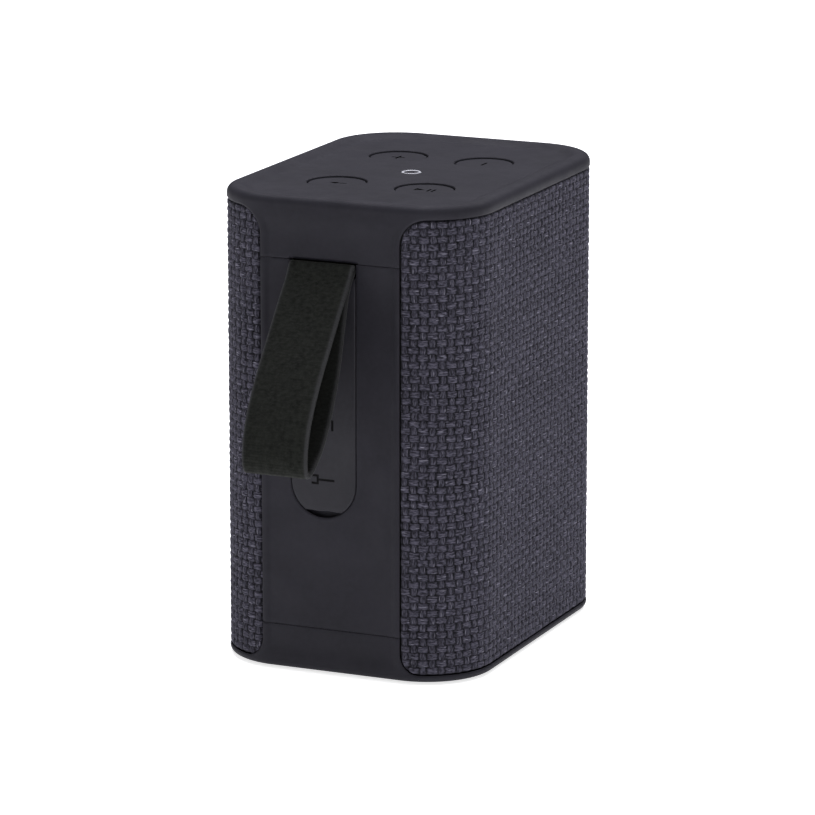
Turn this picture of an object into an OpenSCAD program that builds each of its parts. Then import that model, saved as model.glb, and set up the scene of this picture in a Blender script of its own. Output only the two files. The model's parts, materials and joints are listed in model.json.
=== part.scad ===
// Shower speaker: a fabric-wrapped upright block with a dished button top,
// a plain rear spine, a strap loop and a soft cover over two sockets.
// Millimetres, +Z up. The origin is the centre of the foot's flat face.
// The front faces -Y and the spine faces +Y.

/* [Body] */
// Height of the whole speaker
body_h = 105; // [100:1:112]
// Width across the front
body_w = 61.5; // [60:0.5:66]
// Depth from the front to the spine
body_d = 83.5; // [82:0.5:90]
// Corner radius seen from above
corner_r = 15.5; // [14:0.5:17]

/* [Top] */
// Height of the cap's outer band and crest
cap_band = 2.8; // [2.4:0.1:3.4]
// How far the button field is dished below the crest
dish_depth = 0.9; // [0.6:0.1:1.2]
// Diameter of a button
button_d = 12.9; // [11:0.1:14]
// Half the distance between the buttons, across
button_x = 10.4; // [9:0.1:12]
// Half the distance between the buttons, front to back
button_y = 16.6; // [15:0.1:19]
// How far a button travels
button_travel = 0.5; // [0.3:0.1:0.6]

/* [Rear spine] */
// Left and right edges of the spine strip
spine_edges = [-15.4, 17.3];
// Centre line of the strap and the port cover
strap_x = 2.6; // [0:0.1:3]
// Height of the seam over the strap slot
seam_high = 91.5; // [90:0.5:93]
// Height of the seam over the base
seam_low = 10.05; // [9:0.05:12]
// Width of the port cover
cover_w = 15.2; // [14:0.1:16]
// Height of the port cover's bottom end
cover_z = 35.2; // [33:0.1:37]

/* [Strap] */
// Width of the strap
strap_w = 15; // [13:0.5:15]
// Thickness of the strap
strap_t = 1.35; // [1.1:0.05:1.4]

/* [Hidden] */
$fn = 96;
far = 200;   // longer than anything that it cuts

// Depths of the layers, measured inwards from the body's outer face
fabric_out = 0.3;
fabric_in = 1.5;
chassis_out = 1.75;
chassis_in = 3.75;

// Heights
pad_top = 0.9;
base_z = 0.4;           // underside of the base cap
rim_top = 2.0;          // top of the base rim, where the cloth starts
base_floor = 4.4;       // top of the base cap's floor
cap_under = body_h - cap_band;
cap_floor = body_h - dish_depth;
chassis_low = base_floor + 0.15;
chassis_high = cap_under - 0.15;
cloth_gap = 0.2;

// Corner centres of the plan outline
centre_x = body_w / 2 - corner_r;
centre_y = body_d / 2 - corner_r;
rear_y = body_d / 2;
panel_y = rear_y - 0.4;   // the flat of the spine, between its raised lips
lip_w = 2.2;
core_r = 9;               // corner radius of the flat slab inside a cap's shaped edge
skin_t = 1.5;             // thickness of the spine's skin
cloth_r_high = 6;         // rounding of the cloth's upper and lower rear corners
cloth_r_low = 4.5;

// Strap and port cover
cover_t = 1.5;
cover_gap = 0.15;
seat_y = panel_y - cover_t - 0.1;
hinge_z = seam_high - 0.05 - strap_t;
hinge_y = rear_y - 0.15;
slot_low = hinge_z - strap_t - 0.15;
notch_depth = 1.3;
slot_ease = 0.6;          // bevel on the slot's edges that the strap swings past
usb_z = 43.5;
usb_size = [9, 3.3];
aux_z = 55.7;
aux_r = 1.8;
boss_w = 18.6;
boss_y = 37.5;
boss_low = 33.3;

// The strap's centre line from its slot down the outer strand, round the fold and back up
// the inner strand, as distances out from the hinge and heights from it
STRAP_PATH = [[2.2, -2.3], [6.8, -7.6], [11.9, -13.9], [16.7, -19.8],
    [21.1, -26.4], [23.4, -31.4], [24.3, -36.4], [23.7, -39.2], [21.9, -39.5],
    [19.0, -37.6], [16.1, -35.1], [12.5, -30.2], [9.3, -24.1], [6.9, -18.1], [5.0, -11.5],
    [3.2, -5.6], [1.5, -2.4]];
STRANDS_PART = 1;    // the path's point below which the strands stand apart
STRANDS_MEET = 15;   // the path's point above which they lie together
PATH_STEPS = 5;   // straight pieces between two points of the path

// Screws
screw_at = [20, 31.5];
screw_r = 1.0;
screw_hole_r = 1.05;
head_r = 2.2;

// Loudspeaker, on the front
driver_z = 62;
radiator_z = 24;
baffle_y = -33;
baffle_t = 3;
chamber_w = 49;
chamber_rear = 18;
chamber_low = 8.2;
chamber_high = 88;
wall = 2;

// Electronics bay
board_y = 29;
board_t = 1.6;
battery_at = [-13, 27.6];
battery_r = 9.2;
battery_low = 15;
battery_len = 65;
ctrl_z = 95.8;
membrane_z = cap_under - 2.5 - button_travel;
plastic = [0.2, 0.195, 0.21];
cloth = [0.24, 0.23, 0.28];

// ---------- shared shapes ----------

// Plan outline, d inside the outer face
module plan(d) {
    r = corner_r - d;
    square([2 * centre_x, body_d - 2 * d], center = true);
    square([body_w - 2 * d, 2 * centre_y], center = true);
    for (sx = [-1, 1], sy = [-1, 1])
        translate([sx * centre_x, sy * centre_y]) circle(r);
}

module prism(d, low, high) {
    translate([0, 0, low]) linear_extrude(high - low) plan(d);
}

// A wall that follows the plan outline
module tube(d_out, d_in, low, high) {
    difference() {
        prism(d_out, low, high);
        prism(d_in, low - 1, high + 1);
    }
}

// Carries a 2D profile round the plan outline: x outwards from the corners' centres, y up
module swept() {
    for (q = [0 : 3])
        translate([(q == 0 || q == 3 ? 1 : -1) * centre_x, (q < 2 ? 1 : -1) * centre_y, 0])
            rotate([0, 0, 90 * q]) rotate_extrude(angle = 90) children();
    for (s = [0, 180]) {
        rotate([0, 0, s]) translate([centre_x, centre_y, 0]) rotate([90, 0, 0])
            linear_extrude(2 * centre_y) children();
        rotate([0, 0, s + 90]) translate([centre_y, centre_x, 0]) rotate([90, 0, 0])
            linear_extrude(2 * centre_x) children();
    }
}

module block(x, y, z) {
    translate([x[0], y[0], z[0]]) cube([x[1] - x[0], y[1] - y[0], z[1] - z[0]]);
}

// Upright round bar between two heights
module post(x, y, r, low, high) {
    translate([x, y, low]) cylinder(r = r, h = high - low);
}

// Round bar along Y between two depths
module bar(x, z, r, y_low, y_high) {
    translate([x, y_high, z]) rotate([90, 0, 0]) cylinder(r = r, h = y_high - y_low);
}

// Turns a profile about an axis along Y: the profile's x is the radius, its y is -Y
module turned(z) {
    translate([0, 0, z]) rotate([90, 0, 0]) rotate_extrude() children();
}

function arc(c, r, a0, a1, n) =
    [for (i = [0 : n]) let (a = a0 + (a1 - a0) * i / n) [c[0] + r * cos(a), c[1] + r * sin(a)]];

// The part of the rear that isn't cloth: the strip between the spine's edges and the
// fillets that round off the cloth's corners; g moves its edge towards the cloth
module spine_area(g) {
    low = rim_top;
    high = cap_under;
    translate([0, far, 0]) rotate([90, 0, 0]) linear_extrude(far - centre_y) {
        translate([spine_edges[0] - g, -1])
            square([spine_edges[1] - spine_edges[0] + 2 * g, body_h + 2]);
        for (side = [0, 1]) {
            s = side == 0 ? -1 : 1;
            translate([spine_edges[side], high]) scale_x(s) fillet_corner(cloth_r_high, g, -1);
            translate([spine_edges[side], low]) scale_x(s) fillet_corner(cloth_r_low, g, 1);
        }
    }
}

module scale_x(s) {
    if (s < 0) mirror([1, 0]) children();
    else children();
}

module fillet_corner(r, g, up) {
    difference() {
        translate([0, up > 0 ? -1 : -r]) square([r, r + 1]);
        translate([r, up * r]) circle(r - g);
    }
}

// Skin of the spine between two heights, flush lips with a shallow flat between them
module spine_skin(low, high) {
    difference() {
        intersection() {
            tube(0.05, skin_t, low, high);
            spine_area(0);
        }
        block([spine_edges[0] + lip_w, spine_edges[1] - lip_w], [panel_y, far], [base_z - 1, cap_under]);
    }
}

// Outline of the port cover, square at the top and round at the bottom, d wider all round
module cover_outline(d) {
    r = cover_w / 2;
    translate([0, cover_z + r]) circle(r + d);
    translate([-r - d, cover_z + r]) square([2 * (r + d), far]);
}

module cover_slab(d, y_low, y_high, top) {
    intersection() {
        translate([strap_x, y_high, 0]) rotate([90, 0, 0])
            linear_extrude(y_high - y_low) cover_outline(d);
        block([-far, far], [-far, far], [0, top]);
    }
}

// Bevels the outer edge at height z over the strap's width, towards up (1) or down (-1)
module eased_edge(z, up) {
    e = slot_ease;
    translate([strap_x - strap_w / 2 - 0.25, 0, 0]) rotate([90, 0, 90])
        linear_extrude(strap_w + 0.5)
            polygon([[panel_y - e, z - up], [panel_y - e, z], [panel_y + e, z + up * 2 * e],
                [panel_y + e, z - up]]);
}

// ---------- housing ----------

// Section of the cap's edge: band, rounded shoulder, crest and soft slope to the dish
function cap_section() = concat(
    [[core_r - 1, cap_under], [corner_r, cap_under]],
    arc([corner_r - 1.7, body_h - 1.7], 1.7, 0, 90, 6),
    [for (i = [0 : 6]) [corner_r - 2.6 - 3.6 * i / 6,
        body_h - dish_depth * (1 - cos(180 * i / 6)) / 2]],
    [[core_r - 1, cap_floor]]);

module top_cap() {
    color(plastic) difference() {
        union() {
            swept() polygon(cap_section());
            prism(corner_r - core_r, cap_under, cap_floor);
            spine_skin(seam_high + 0.1, cap_under + 0.1);
            tube(chassis_in + 0.15, chassis_in + 1.65, cap_under - 3.2, cap_under + 0.1);
            for (sx = [-1, 1], sy = [-1, 1]) {
                post(sx * screw_at[0], sy * screw_at[1], 3, 93.8, cap_under + 0.1);
                post(sx * 17.2, sy * 24.6, 1.9, ctrl_z + board_t, cap_under + 0.1);
            }
        }
        tube(chassis_in - 1, chassis_in + 0.85, cap_under - 2.3, cap_under - 1.2);
        for (sx = [-1, 1], sy = [-1, 1]) {
            post(sx * button_x, sy * button_y, button_d / 2 + 0.15, cap_under - 1, body_h + 1);
            post(sx * screw_at[0], sy * screw_at[1], screw_hole_r, 93, 100);
            post(sx * 17.2, sy * 24.6, 0.85, 97, 101.5);
        }
        post(0, 0, 2.3, cap_under - 1, body_h + 1);
        eased_edge(seam_high + 0.1, 1);
        // room for the board's edge between the bosses
        block([-21, 21], [-28.5, 28.5], [ctrl_z - 2, ctrl_z + board_t]);
    }
}

module spine_panel() {
    color(plastic) difference() {
        union() {
            spine_skin(seam_low + 0.1, seam_high);
            block([strap_x - boss_w / 2, strap_x + boss_w / 2], [boss_y, panel_y - 0.5],
                [boss_low, seam_high]);
        }
        cover_slab(cover_gap, seat_y, far, seam_high + 1);
        block([strap_x - strap_w / 2 - 0.25, strap_x + strap_w / 2 + 0.25], [20, far],
            [slot_low, seam_high + 1]);
        block([strap_x - usb_size[0] / 2 - 0.15, strap_x + usb_size[0] / 2 + 0.15], [30, far],
            [usb_z - usb_size[1] / 2 - 0.15, usb_z + usb_size[1] / 2 + 0.15]);
        bar(strap_x, aux_z, 3.5, 30, far);
        gasket_shape(5.9, 4.5, seat_y - 0.55, far);
    }
}

// Ring that goes round both sockets
module gasket_shape(out, inner, y_low, y_high) {
    difference() {
        gasket_slab(out, y_low, y_high);
        gasket_slab(inner + 0.75, y_low - 1, y_high + 1);
    }
}

module gasket_slab(r, y_low, y_high) {
    bar(strap_x, usb_z - 1, r, y_low, y_high);
    bar(strap_x, aux_z + 1, r, y_low, y_high);
    block([strap_x - r, strap_x + r], [y_low, y_high], [usb_z - 1, aux_z + 1]);
}

module port_gasket() {
    color("dimgray") gasket_shape(5.85, 4.55, seat_y - 0.5, seat_y + 0.05);
}

module base_cap() {
    color(plastic) difference() {
        union() {
            swept() polygon(concat([[core_r - 1, base_z]],
                arc([corner_r - 1.2, base_z + 1.2], 1.2, -90, 0, 6),
                [[corner_r, rim_top], [core_r - 1, rim_top]]));
            prism(corner_r - core_r, base_z, rim_top);
            prism(chassis_out, rim_top - 0.1, base_floor);
            spine_skin(rim_top - 0.1, seam_low);
            tube(chassis_in + 0.15, chassis_in + 1.65, base_floor - 0.1, base_floor + 2.5);
        }
        tube(chassis_in - 1, chassis_in + 0.85, base_floor + 1.0, base_floor + 2.1);
        prism(6, 0, pad_top);
        for (sx = [-1, 1], sy = [-1, 1]) {
            post(sx * screw_at[0], sy * screw_at[1], head_r + 0.2, 0, 2.6);
            post(sx * screw_at[0], sy * screw_at[1], screw_hole_r + 0.1, 0, 20);
        }
    }
}

module foot_pad() {
    color([0.1, 0.1, 0.1]) difference() {
        prism(6.1, 0, pad_top - 0.05);
        for (i = [-2 : 2]) block([i * 8 - 1, i * 8 + 1], [-24, 24], [-1, 0.35]);
    }
}

// Rings that keep water out between the caps and the chassis
module seal_ring(low) {
    color([0.55, 0.2, 0.15]) tube(chassis_in + 0.05, chassis_in + 0.8, low, low + 0.9);
}
module cap_seal() seal_ring(cap_under - 2.2);
module base_seal() seal_ring(base_floor + 1.1);

module fabric_wrap() {
    color(cloth) difference() {
        tube(fabric_out, fabric_in, rim_top + cloth_gap, cap_under - cloth_gap);
        spine_area(cloth_gap);
    }
}

module chassis() {
    color([0.13, 0.13, 0.14]) difference() {
        union() {
            tube(chassis_out, chassis_in, chassis_low, chassis_high);
            intersection() {
                prism(chassis_in - 1, 0, body_h);
                for (sx = [-1, 1], sy = [-1, 1]) {
                    post(sx * screw_at[0], sy * screw_at[1], 2.8, chassis_low, 8);
                    post(sx * screw_at[0], sy * screw_at[1], 5.6, base_floor + 2.6, 8);
                    post(sx * screw_at[0], sy * screw_at[1], 5.2, 90.2, 93.5);
                }
            }
            block([strap_x - 13, strap_x + 13], [30, rear_y - chassis_in + 1], [91.8, 94.6]);
        }
        block([strap_x - 9.5, strap_x + 9.5], [20, far], [boss_low - 0.2, seam_high + 0.15]);
        for (sx = [-1, 1], sy = [-1, 1])
            post(sx * screw_at[0], sy * screw_at[1], screw_hole_r, 0, 95);
        for (s = [-1, 1]) post(strap_x + s * 10.5, 34, screw_hole_r, 91, 94);
        // sound openings in front of the driver and the radiator
        for (i = [-2.5 : 2.5], k = [0 : 6])
            block([i * 5 - 1.2, i * 5 + 1.2], [-far, -centre_y], [12 + k * 11.2, 20 + k * 11.2]);
    }
}

// ---------- buttons and what they press ----------

// Flat bar of a mark, centred, to be cut into a button's top
module stroke(len_x, len_y) {
    cube([len_x, len_y, 0.5], center = true);
}

module button(sx, sy) {
    top = cap_floor - 0.35;
    color(plastic) translate([sx * button_x, sy * button_y, 0]) difference() {
        union() {
            post(0, 0, button_d / 2, cap_under - 0.3, top);
            post(0, 0, button_d / 2 + 0.7, cap_under - 1.0, cap_under - 0.1);
            post(0, 0, 2, cap_under - 1.6, cap_under - 0.9);
        }
        translate([0, 0, top]) children();
    }
}

module triangle(s, len) {
    translate([0, 0, -0.25]) linear_extrude(0.5)
        polygon([[s * len / 2, 0], [-s * len / 2, len / 2], [-s * len / 2, -len / 2]]);
}

module button_plus() button(1, -1) {
    stroke(3.2, 0.5);
    stroke(0.5, 3.2);
}
module button_minus() button(-1, -1) stroke(0.5, 3.2);
module button_play() button(-1, 1) {
    translate([1.1, 0, 0]) triangle(-1, 2.4);
    for (x = [-1.0, -2.1]) translate([x, 0, 0]) stroke(0.5, 2.6);
}
module button_power() button(1, 1) {
    translate([0.9, 0, 0]) triangle(1, 1.8);
    translate([-1.1, 0, 0]) stroke(2.4, 0.5);
}

module key_membrane() {
    color([0.35, 0.35, 0.37]) {
        block([-15, 15], [-22, 22], [membrane_z, membrane_z + 0.6]);
        for (sx = [-1, 1], sy = [-1, 1])
            post(sx * button_x, sy * button_y, 2.4, membrane_z + 0.5, membrane_z + 0.8);
    }
}

module key_switches() {
    color("gainsboro") for (sx = [-1, 1], sy = [-1, 1]) translate([sx * button_x, sy * button_y, 0]) {
        block([-2.4, 2.4], [-2.4, 2.4], [ctrl_z + board_t, ctrl_z + board_t + 1.2]);
        post(0, 0, 1.2, ctrl_z + board_t + 1.1, membrane_z - 0.1);
    }
}

module control_board() {
    color([0.05, 0.3, 0.15]) difference() {
        block([-20, 20], [-28, 28], [ctrl_z, ctrl_z + board_t]);
        for (sx = [-1, 1], sy = [-1, 1]) post(sx * 17.2, sy * 24.6, 0.9, 90, 100);
    }
}

module control_screws() {
    color("silver") for (sx = [-1, 1], sy = [-1, 1]) {
        post(sx * 17.2, sy * 24.6, 1.7, ctrl_z - 1.4, ctrl_z);
        post(sx * 17.2, sy * 24.6, 0.8, ctrl_z - 0.1, ctrl_z + 5);
    }
}

module light_ring() {
    color([0.85, 0.85, 0.9]) difference() {
        union() {
            post(0, 0, 2.2, cap_under - 0.6, cap_floor + 0.05);
            post(0, 0, 3.1, cap_under - 1.6, cap_under - 0.1);
        }
        post(0, 0, 1.3, cap_under - 2, body_h + 1);
        block([-3.2, 3.2], [-0.7, 0.7], [cap_under - 1.7, cap_under - 1.2]);
    }
}

module mic_capsule() {
    color([0.1, 0.1, 0.1]) {
        post(0, 0, 1.2, cap_under - 2.0, cap_floor - 0.3);
        post(0, 0, 2.6, cap_under - 2.3, cap_under - 1.9);
    }
}

// ---------- port cover, sockets and strap ----------

module port_cover() {
    cover_top = slot_low - 0.15;
    color(plastic) difference() {
        union() {
            cover_slab(0, panel_y - cover_t, panel_y, cover_top);
            // stopper that goes into the charging socket
            block([strap_x - 3.8, strap_x + 3.8], [seat_y - 1.2, panel_y - cover_t + 0.1],
                [usb_z - 1, usb_z + 1]);
        }
        block([-far, far], [0, far], [0, cover_z + notch_depth]);
        eased_edge(cover_top, -1);
        port_marks();
    }
}

// Plain marks for charging and sound, sunk in the cover
module port_marks() {
    depth = 0.2;
    y = [panel_y - depth, far];
    block([strap_x - 2.6, strap_x + 1.2], y, [usb_z - 0.25, usb_z + 0.25]);
    block([strap_x + 1.1, strap_x + 1.6], y, [usb_z - 1.1, usb_z + 1.1]);
    block([strap_x + 1.1, strap_x + 2.8], y, [usb_z - 1.1, usb_z - 0.6]);
    block([strap_x + 1.1, strap_x + 2.8], y, [usb_z + 0.6, usb_z + 1.1]);
    block([strap_x - 2.4, strap_x - 1.9], y, [aux_z - 1.2, aux_z + 1.2]);
    block([strap_x - 1.0, strap_x - 0.5], y, [aux_z - 0.7, aux_z + 0.7]);
}

module usb_socket() {
    x = [strap_x - usb_size[0] / 2, strap_x + usb_size[0] / 2];
    z = [usb_z - usb_size[1] / 2, usb_z + usb_size[1] / 2];
    color("silver") {
        difference() {
            block(x, [board_y + board_t, seat_y - 0.05], z);
            block([x[0] + 0.35, x[1] - 0.35], [board_y + board_t + 1.5, far],
                [z[0] + 0.35, z[1] - 0.35]);
        }
        block([x[0] + 1.4, x[1] - 1.4], [board_y + board_t + 1, seat_y - 2], [usb_z - 0.3, usb_z + 0.3]);
    }
}

module aux_jack() {
    color([0.12, 0.12, 0.12]) difference() {
        union() {
            block([strap_x - 3.4, strap_x + 3.4], [board_y + board_t, boss_y - 0.3],
                [aux_z - 3.4, aux_z + 3.4]);
            bar(strap_x, aux_z, 3.4, board_y + board_t, seat_y - 0.05);
        }
        bar(strap_x, aux_z, aux_r, board_y + board_t + 0.8, far);
    }
}

// A smooth curve through the given points, n straight pieces between each two
function at(p, i) = p[max(0, min(len(p) - 1, i))];
function blend_point(a, b, c, d, t) = 0.5 * ((2 * b) + (c - a) * t
    + (2 * a - 5 * b + 4 * c - d) * t * t + (3 * b - a - 3 * c + d) * t * t * t);
function smooth(p, n) = concat(
    [for (i = [0 : len(p) - 2], k = [0 : n - 1])
        blend_point(at(p, i - 1), at(p, i), at(p, i + 1), at(p, i + 2), k / n)],
    [p[len(p) - 1]]);
function unit(v) = v / norm(v);
function side_of(p, i, d) = let (v = unit(at(p, i + 1) - at(p, i - 1))) p[i] + d * [v[1], -v[0]];

// Section of the strap: everything inside its outer face and the fold that turns in the
// slot, less the space in the loop
module strap_section() {
    p = smooth(STRAP_PATH, PATH_STEPS);
    difference() {
        polygon(concat([for (i = [0 : len(p) - 1]) side_of(p, i, -strap_t / 2)],
            arc([0, 0], strap_t, 240, 20, 22)));
        polygon([for (i = [STRANDS_PART * PATH_STEPS - 1 : STRANDS_MEET * PATH_STEPS - 1])
            side_of(p, i, strap_t / 2)]);
    }
}

module strap() {
    color([0.14, 0.15, 0.14]) translate([strap_x - strap_w / 2, hinge_y, hinge_z])
        rotate([90, 0, 90]) linear_extrude(strap_w) strap_section();
}

module strap_tail() {
    color([0.14, 0.15, 0.14])
        block([strap_x - strap_w / 2, strap_x + strap_w / 2], [30.5, hinge_y - strap_t - 0.2],
            [hinge_z - strap_t, hinge_z + strap_t]);
}

module strap_clamp() {
    z = [hinge_z - strap_t - 2.3, hinge_z - strap_t - 0.05];
    color([0.5, 0.5, 0.52]) difference() {
        block([strap_x - 12.5, strap_x + 12.5], [31, 37], z);
        for (s = [-1, 1]) post(strap_x + s * 10.5, 34, screw_hole_r, 80, 94);
    }
}

module clamp_screws() {
    z = hinge_z - strap_t - 2.3;
    color("silver") for (s = [-1, 1]) {
        post(strap_x + s * 10.5, 34, 1.9, z - 1.4, z);
        post(strap_x + s * 10.5, 34, screw_r, z - 0.1, 93.5);
    }
}

// ---------- loudspeaker ----------

module baffle() {
    color([0.16, 0.16, 0.17]) difference() {
        block([-chamber_w / 2, chamber_w / 2], [baffle_y, baffle_y + baffle_t],
            [chamber_low, chamber_high]);
        bar(0, driver_z, 17, -far, 0);
        bar(0, radiator_z, 12.8, -far, 0);
        for (a = [45 : 90 : 315]) bar(20.3 * cos(a), driver_z + 20.3 * sin(a), 0.85, -far, 0);
    }
}

module chamber() {
    inside = chamber_w / 2 - wall;
    color([0.18, 0.18, 0.19]) difference() {
        union() {
            block([-chamber_w / 2, chamber_w / 2], [baffle_y + baffle_t + 0.05, chamber_rear],
                [chamber_low, chamber_high]);
            for (x = [1, 20], z = [26, 78]) bar(x, z, 2, chamber_rear - 1, board_y);
        }
        block([-inside, inside], [-far, chamber_rear - wall],
            [chamber_low + wall, chamber_high - wall]);
        for (x = [1, 20], z = [26, 78]) bar(x, z, 0.85, chamber_rear + 2, far);
    }
}

module driver_basket() {
    color([0.25, 0.25, 0.26]) difference() {
        turned(driver_z) polygon([[17.0, 33], [22.3, 33], [22.3, 35], [18.4, 35], [18.4, 34.2],
            [16.2, 34.2], [15.4, 23], [7.3, 23], [7.3, 22.1], [16.3, 22.1]]);
        for (a = [45 : 90 : 315])
            bar(20.3 * cos(a), driver_z + 20.3 * sin(a), 0.85, -far, 0);
        for (a = [0 : 45 : 135]) translate([0, 0, driver_z]) rotate([0, a, 0])
            block([-20, 20], [-31, -24.5], [-3.2, 3.2]);
    }
}

// Half-round rolled ring between two radii, standing out to the front of depth y
module roll(z, r_in, r_out, y) {
    mid = (r_in + r_out) / 2;
    half = (r_out - r_in) / 2;
    turned(z) polygon(concat(arc([mid, y], half, 0, 180, 12), arc([mid, y], half - 0.5, 180, 0, 12)));
}

module driver_surround() {
    color([0.08, 0.08, 0.08]) roll(driver_z, 14.6, 18.2, 34.25);
}

module driver_cone() {
    color([0.3, 0.3, 0.3]) turned(driver_z)
        polygon([[6.9, 27.2], [14.3, 34.2], [14.3, 34.9], [13.6, 34.9], [6.1, 27.8], [6.1, 27.2]]);
}

module dust_cap() {
    color([0.12, 0.12, 0.12]) turned(driver_z) intersection() {
        translate([0, 23.5]) difference() {
            circle(8);
            circle(7.5);
        }
        translate([0, 27.9]) square([6.05, 6]);
    }
}

module voice_coil() {
    color([0.72, 0.42, 0.2]) turned(driver_z) translate([6.1, 18.8]) square([0.55, 8.3]);
}

module driver_spider() {
    color([0.75, 0.6, 0.3]) turned(driver_z)
        polygon(concat([for (i = [0 : 8]) [7 + i, 24 + 0.25 * (i % 2)]],
            [for (i = [8 : -1 : 0]) [7 + i, 24.35 + 0.25 * (i % 2)]]));
}

module top_plate() {
    color("silver") turned(driver_z) translate([7.3, 19.4]) square([5.7, 2.6]);
}

module magnet() {
    color([0.3, 0.3, 0.32]) turned(driver_z) translate([8.4, 13]) square([5.2, 6.3]);
}

module yoke() {
    color("silver") {
        bar(0, driver_z, 13.6, -12.9, -10.4);
        bar(0, driver_z, 5.5, -24.8, -12);
    }
}

module driver_screws() {
    color("dimgray") for (a = [45 : 90 : 315]) {
        bar(20.3 * cos(a), driver_z + 20.3 * sin(a), 1.7, -36.2, -35);
        bar(20.3 * cos(a), driver_z + 20.3 * sin(a), 0.8, -35.1, baffle_y + baffle_t - 0.3);
    }
}

module radiator_plate() {
    color([0.35, 0.35, 0.36]) bar(0, radiator_z, 8.8, -33.9, -32.4);
}

module radiator_surround() {
    color([0.08, 0.08, 0.08]) {
        roll(radiator_z, 9.1, 13.1, 33.05);
        turned(radiator_z) translate([12.8, 33.05]) square([2, 0.6]);
    }
}

// ---------- power and electronics ----------

module battery() {
    color([0.2, 0.35, 0.6]) {
        post(battery_at[0], battery_at[1], battery_r, battery_low, battery_low + battery_len);
        post(battery_at[0], battery_at[1], 2.6, battery_low + battery_len - 0.1,
            battery_low + battery_len + 0.9);
    }
}

// Open clips that hold the cell against the chamber's rear wall
module battery_cradle() {
    color([0.2, 0.2, 0.2]) for (z = [22, 62]) difference() {
        union() {
            post(battery_at[0], battery_at[1], battery_r + 1.4, z, z + 8);
            block([-20, -6], [chamber_rear + 0.05, battery_at[1] - 6], [z, z + 8]);
        }
        post(battery_at[0], battery_at[1], battery_r + 0.1, z - 1, z + 9);
        block([-far, far], [battery_at[1] + 4, far], [z - 1, z + 9]);
        block([-far, far], [-far, chamber_rear + 0.05], [z - 1, z + 9]);
    }
}

// A wire along straight stretches with round corners
module wire(points, r) {
    for (i = [0 : len(points) - 1]) translate(points[i]) sphere(r, $fn = 24);
    for (i = [0 : len(points) - 2]) {
        v = points[i + 1] - points[i];
        translate(points[i]) rotate([0, acos(v[2] / norm(v)), atan2(v[1], v[0])])
            cylinder(r = r, h = norm(v), $fn = 24);
    }
}

module battery_lead() {
    top = battery_low + battery_len + 1.6;
    color([0.7, 0.1, 0.1]) for (k = [0, 1])
        wire([[battery_at[0] + 2.5 * k - 1, 26, top], [battery_at[0] + 2.5 * k - 1, 26, top + 1],
            [6 + 2 * k, 26, top + 1], [6 + 2 * k, 26, 76], [6 + 2 * k, 28.3, 76]], 0.55);
}

module main_board() {
    color([0.05, 0.3, 0.15]) difference() {
        block([-2.2, 23], [board_y, board_y + board_t], [22, 82]);
        for (x = [1, 20], z = [26, 78]) bar(x, z, 0.9, 0, far);
    }
}

module board_parts() {
    y = board_y + board_t;
    color([0.08, 0.08, 0.09]) {
        block([6, 14], [y, y + 1.2], [66, 74]);
        block([14, 20], [y, y + 2.5], [50, 56]);
        block([14, 19], [y, y + 1.0], [34, 40]);
        post(17, y + 3.2, 2.8, 60, 68);
    }
}

module board_screws() {
    color("silver") for (x = [1, 20], z = [26, 78]) {
        bar(x, z, 1.7, board_y + board_t, board_y + board_t + 1.3);
        bar(x, z, 0.8, 22, board_y + board_t + 0.1);
    }
}

module flex_cable() {
    z = ctrl_z - 0.1;
    color([0.75, 0.45, 0.15]) translate([9, 0, 0]) rotate([90, 0, 90]) linear_extrude(6)
        polygon([[27.1, z], [board_y - 0.1, z], [board_y - 0.1, 79], [board_y - 0.4, 79],
            [board_y - 0.4, z - 0.3], [27.1, z - 0.3]]);
}

module corner_screws(head_low, head_h, tip) {
    color("silver") for (sx = [-1, 1], sy = [-1, 1]) {
        post(sx * screw_at[0], sy * screw_at[1], head_r, head_low, head_low + head_h);
        post(sx * screw_at[0], sy * screw_at[1], screw_r, head_low + head_h - 0.1, tip);
    }
}
module cap_screws() corner_screws(88.7, 1.5, 99.5);
module base_screws() corner_screws(1.0, 1.5, 7.6);

top_cap();
spine_panel();
base_cap();
fabric_wrap();
chassis();
foot_pad();
cap_seal();
base_seal();
button_plus();
button_minus();
button_play();
button_power();
key_membrane();
key_switches();
control_board();
control_screws();
light_ring();
mic_capsule();
port_cover();
port_gasket();
usb_socket();
aux_jack();
strap();
strap_tail();
strap_clamp();
clamp_screws();
baffle();
chamber();
driver_basket();
driver_surround();
driver_cone();
dust_cap();
voice_coil();
driver_spider();
top_plate();
magnet();
yoke();
driver_screws();
radiator_plate();
radiator_surround();
battery();
battery_cradle();
battery_lead();
main_board();
board_parts();
board_screws();
flex_cable();
cap_screws();
base_screws();
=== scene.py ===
import json
import math

import bmesh
import bpy
import numpy as np
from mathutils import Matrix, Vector
from mathutils.geometry import delaunay_2d_cdt


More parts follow.
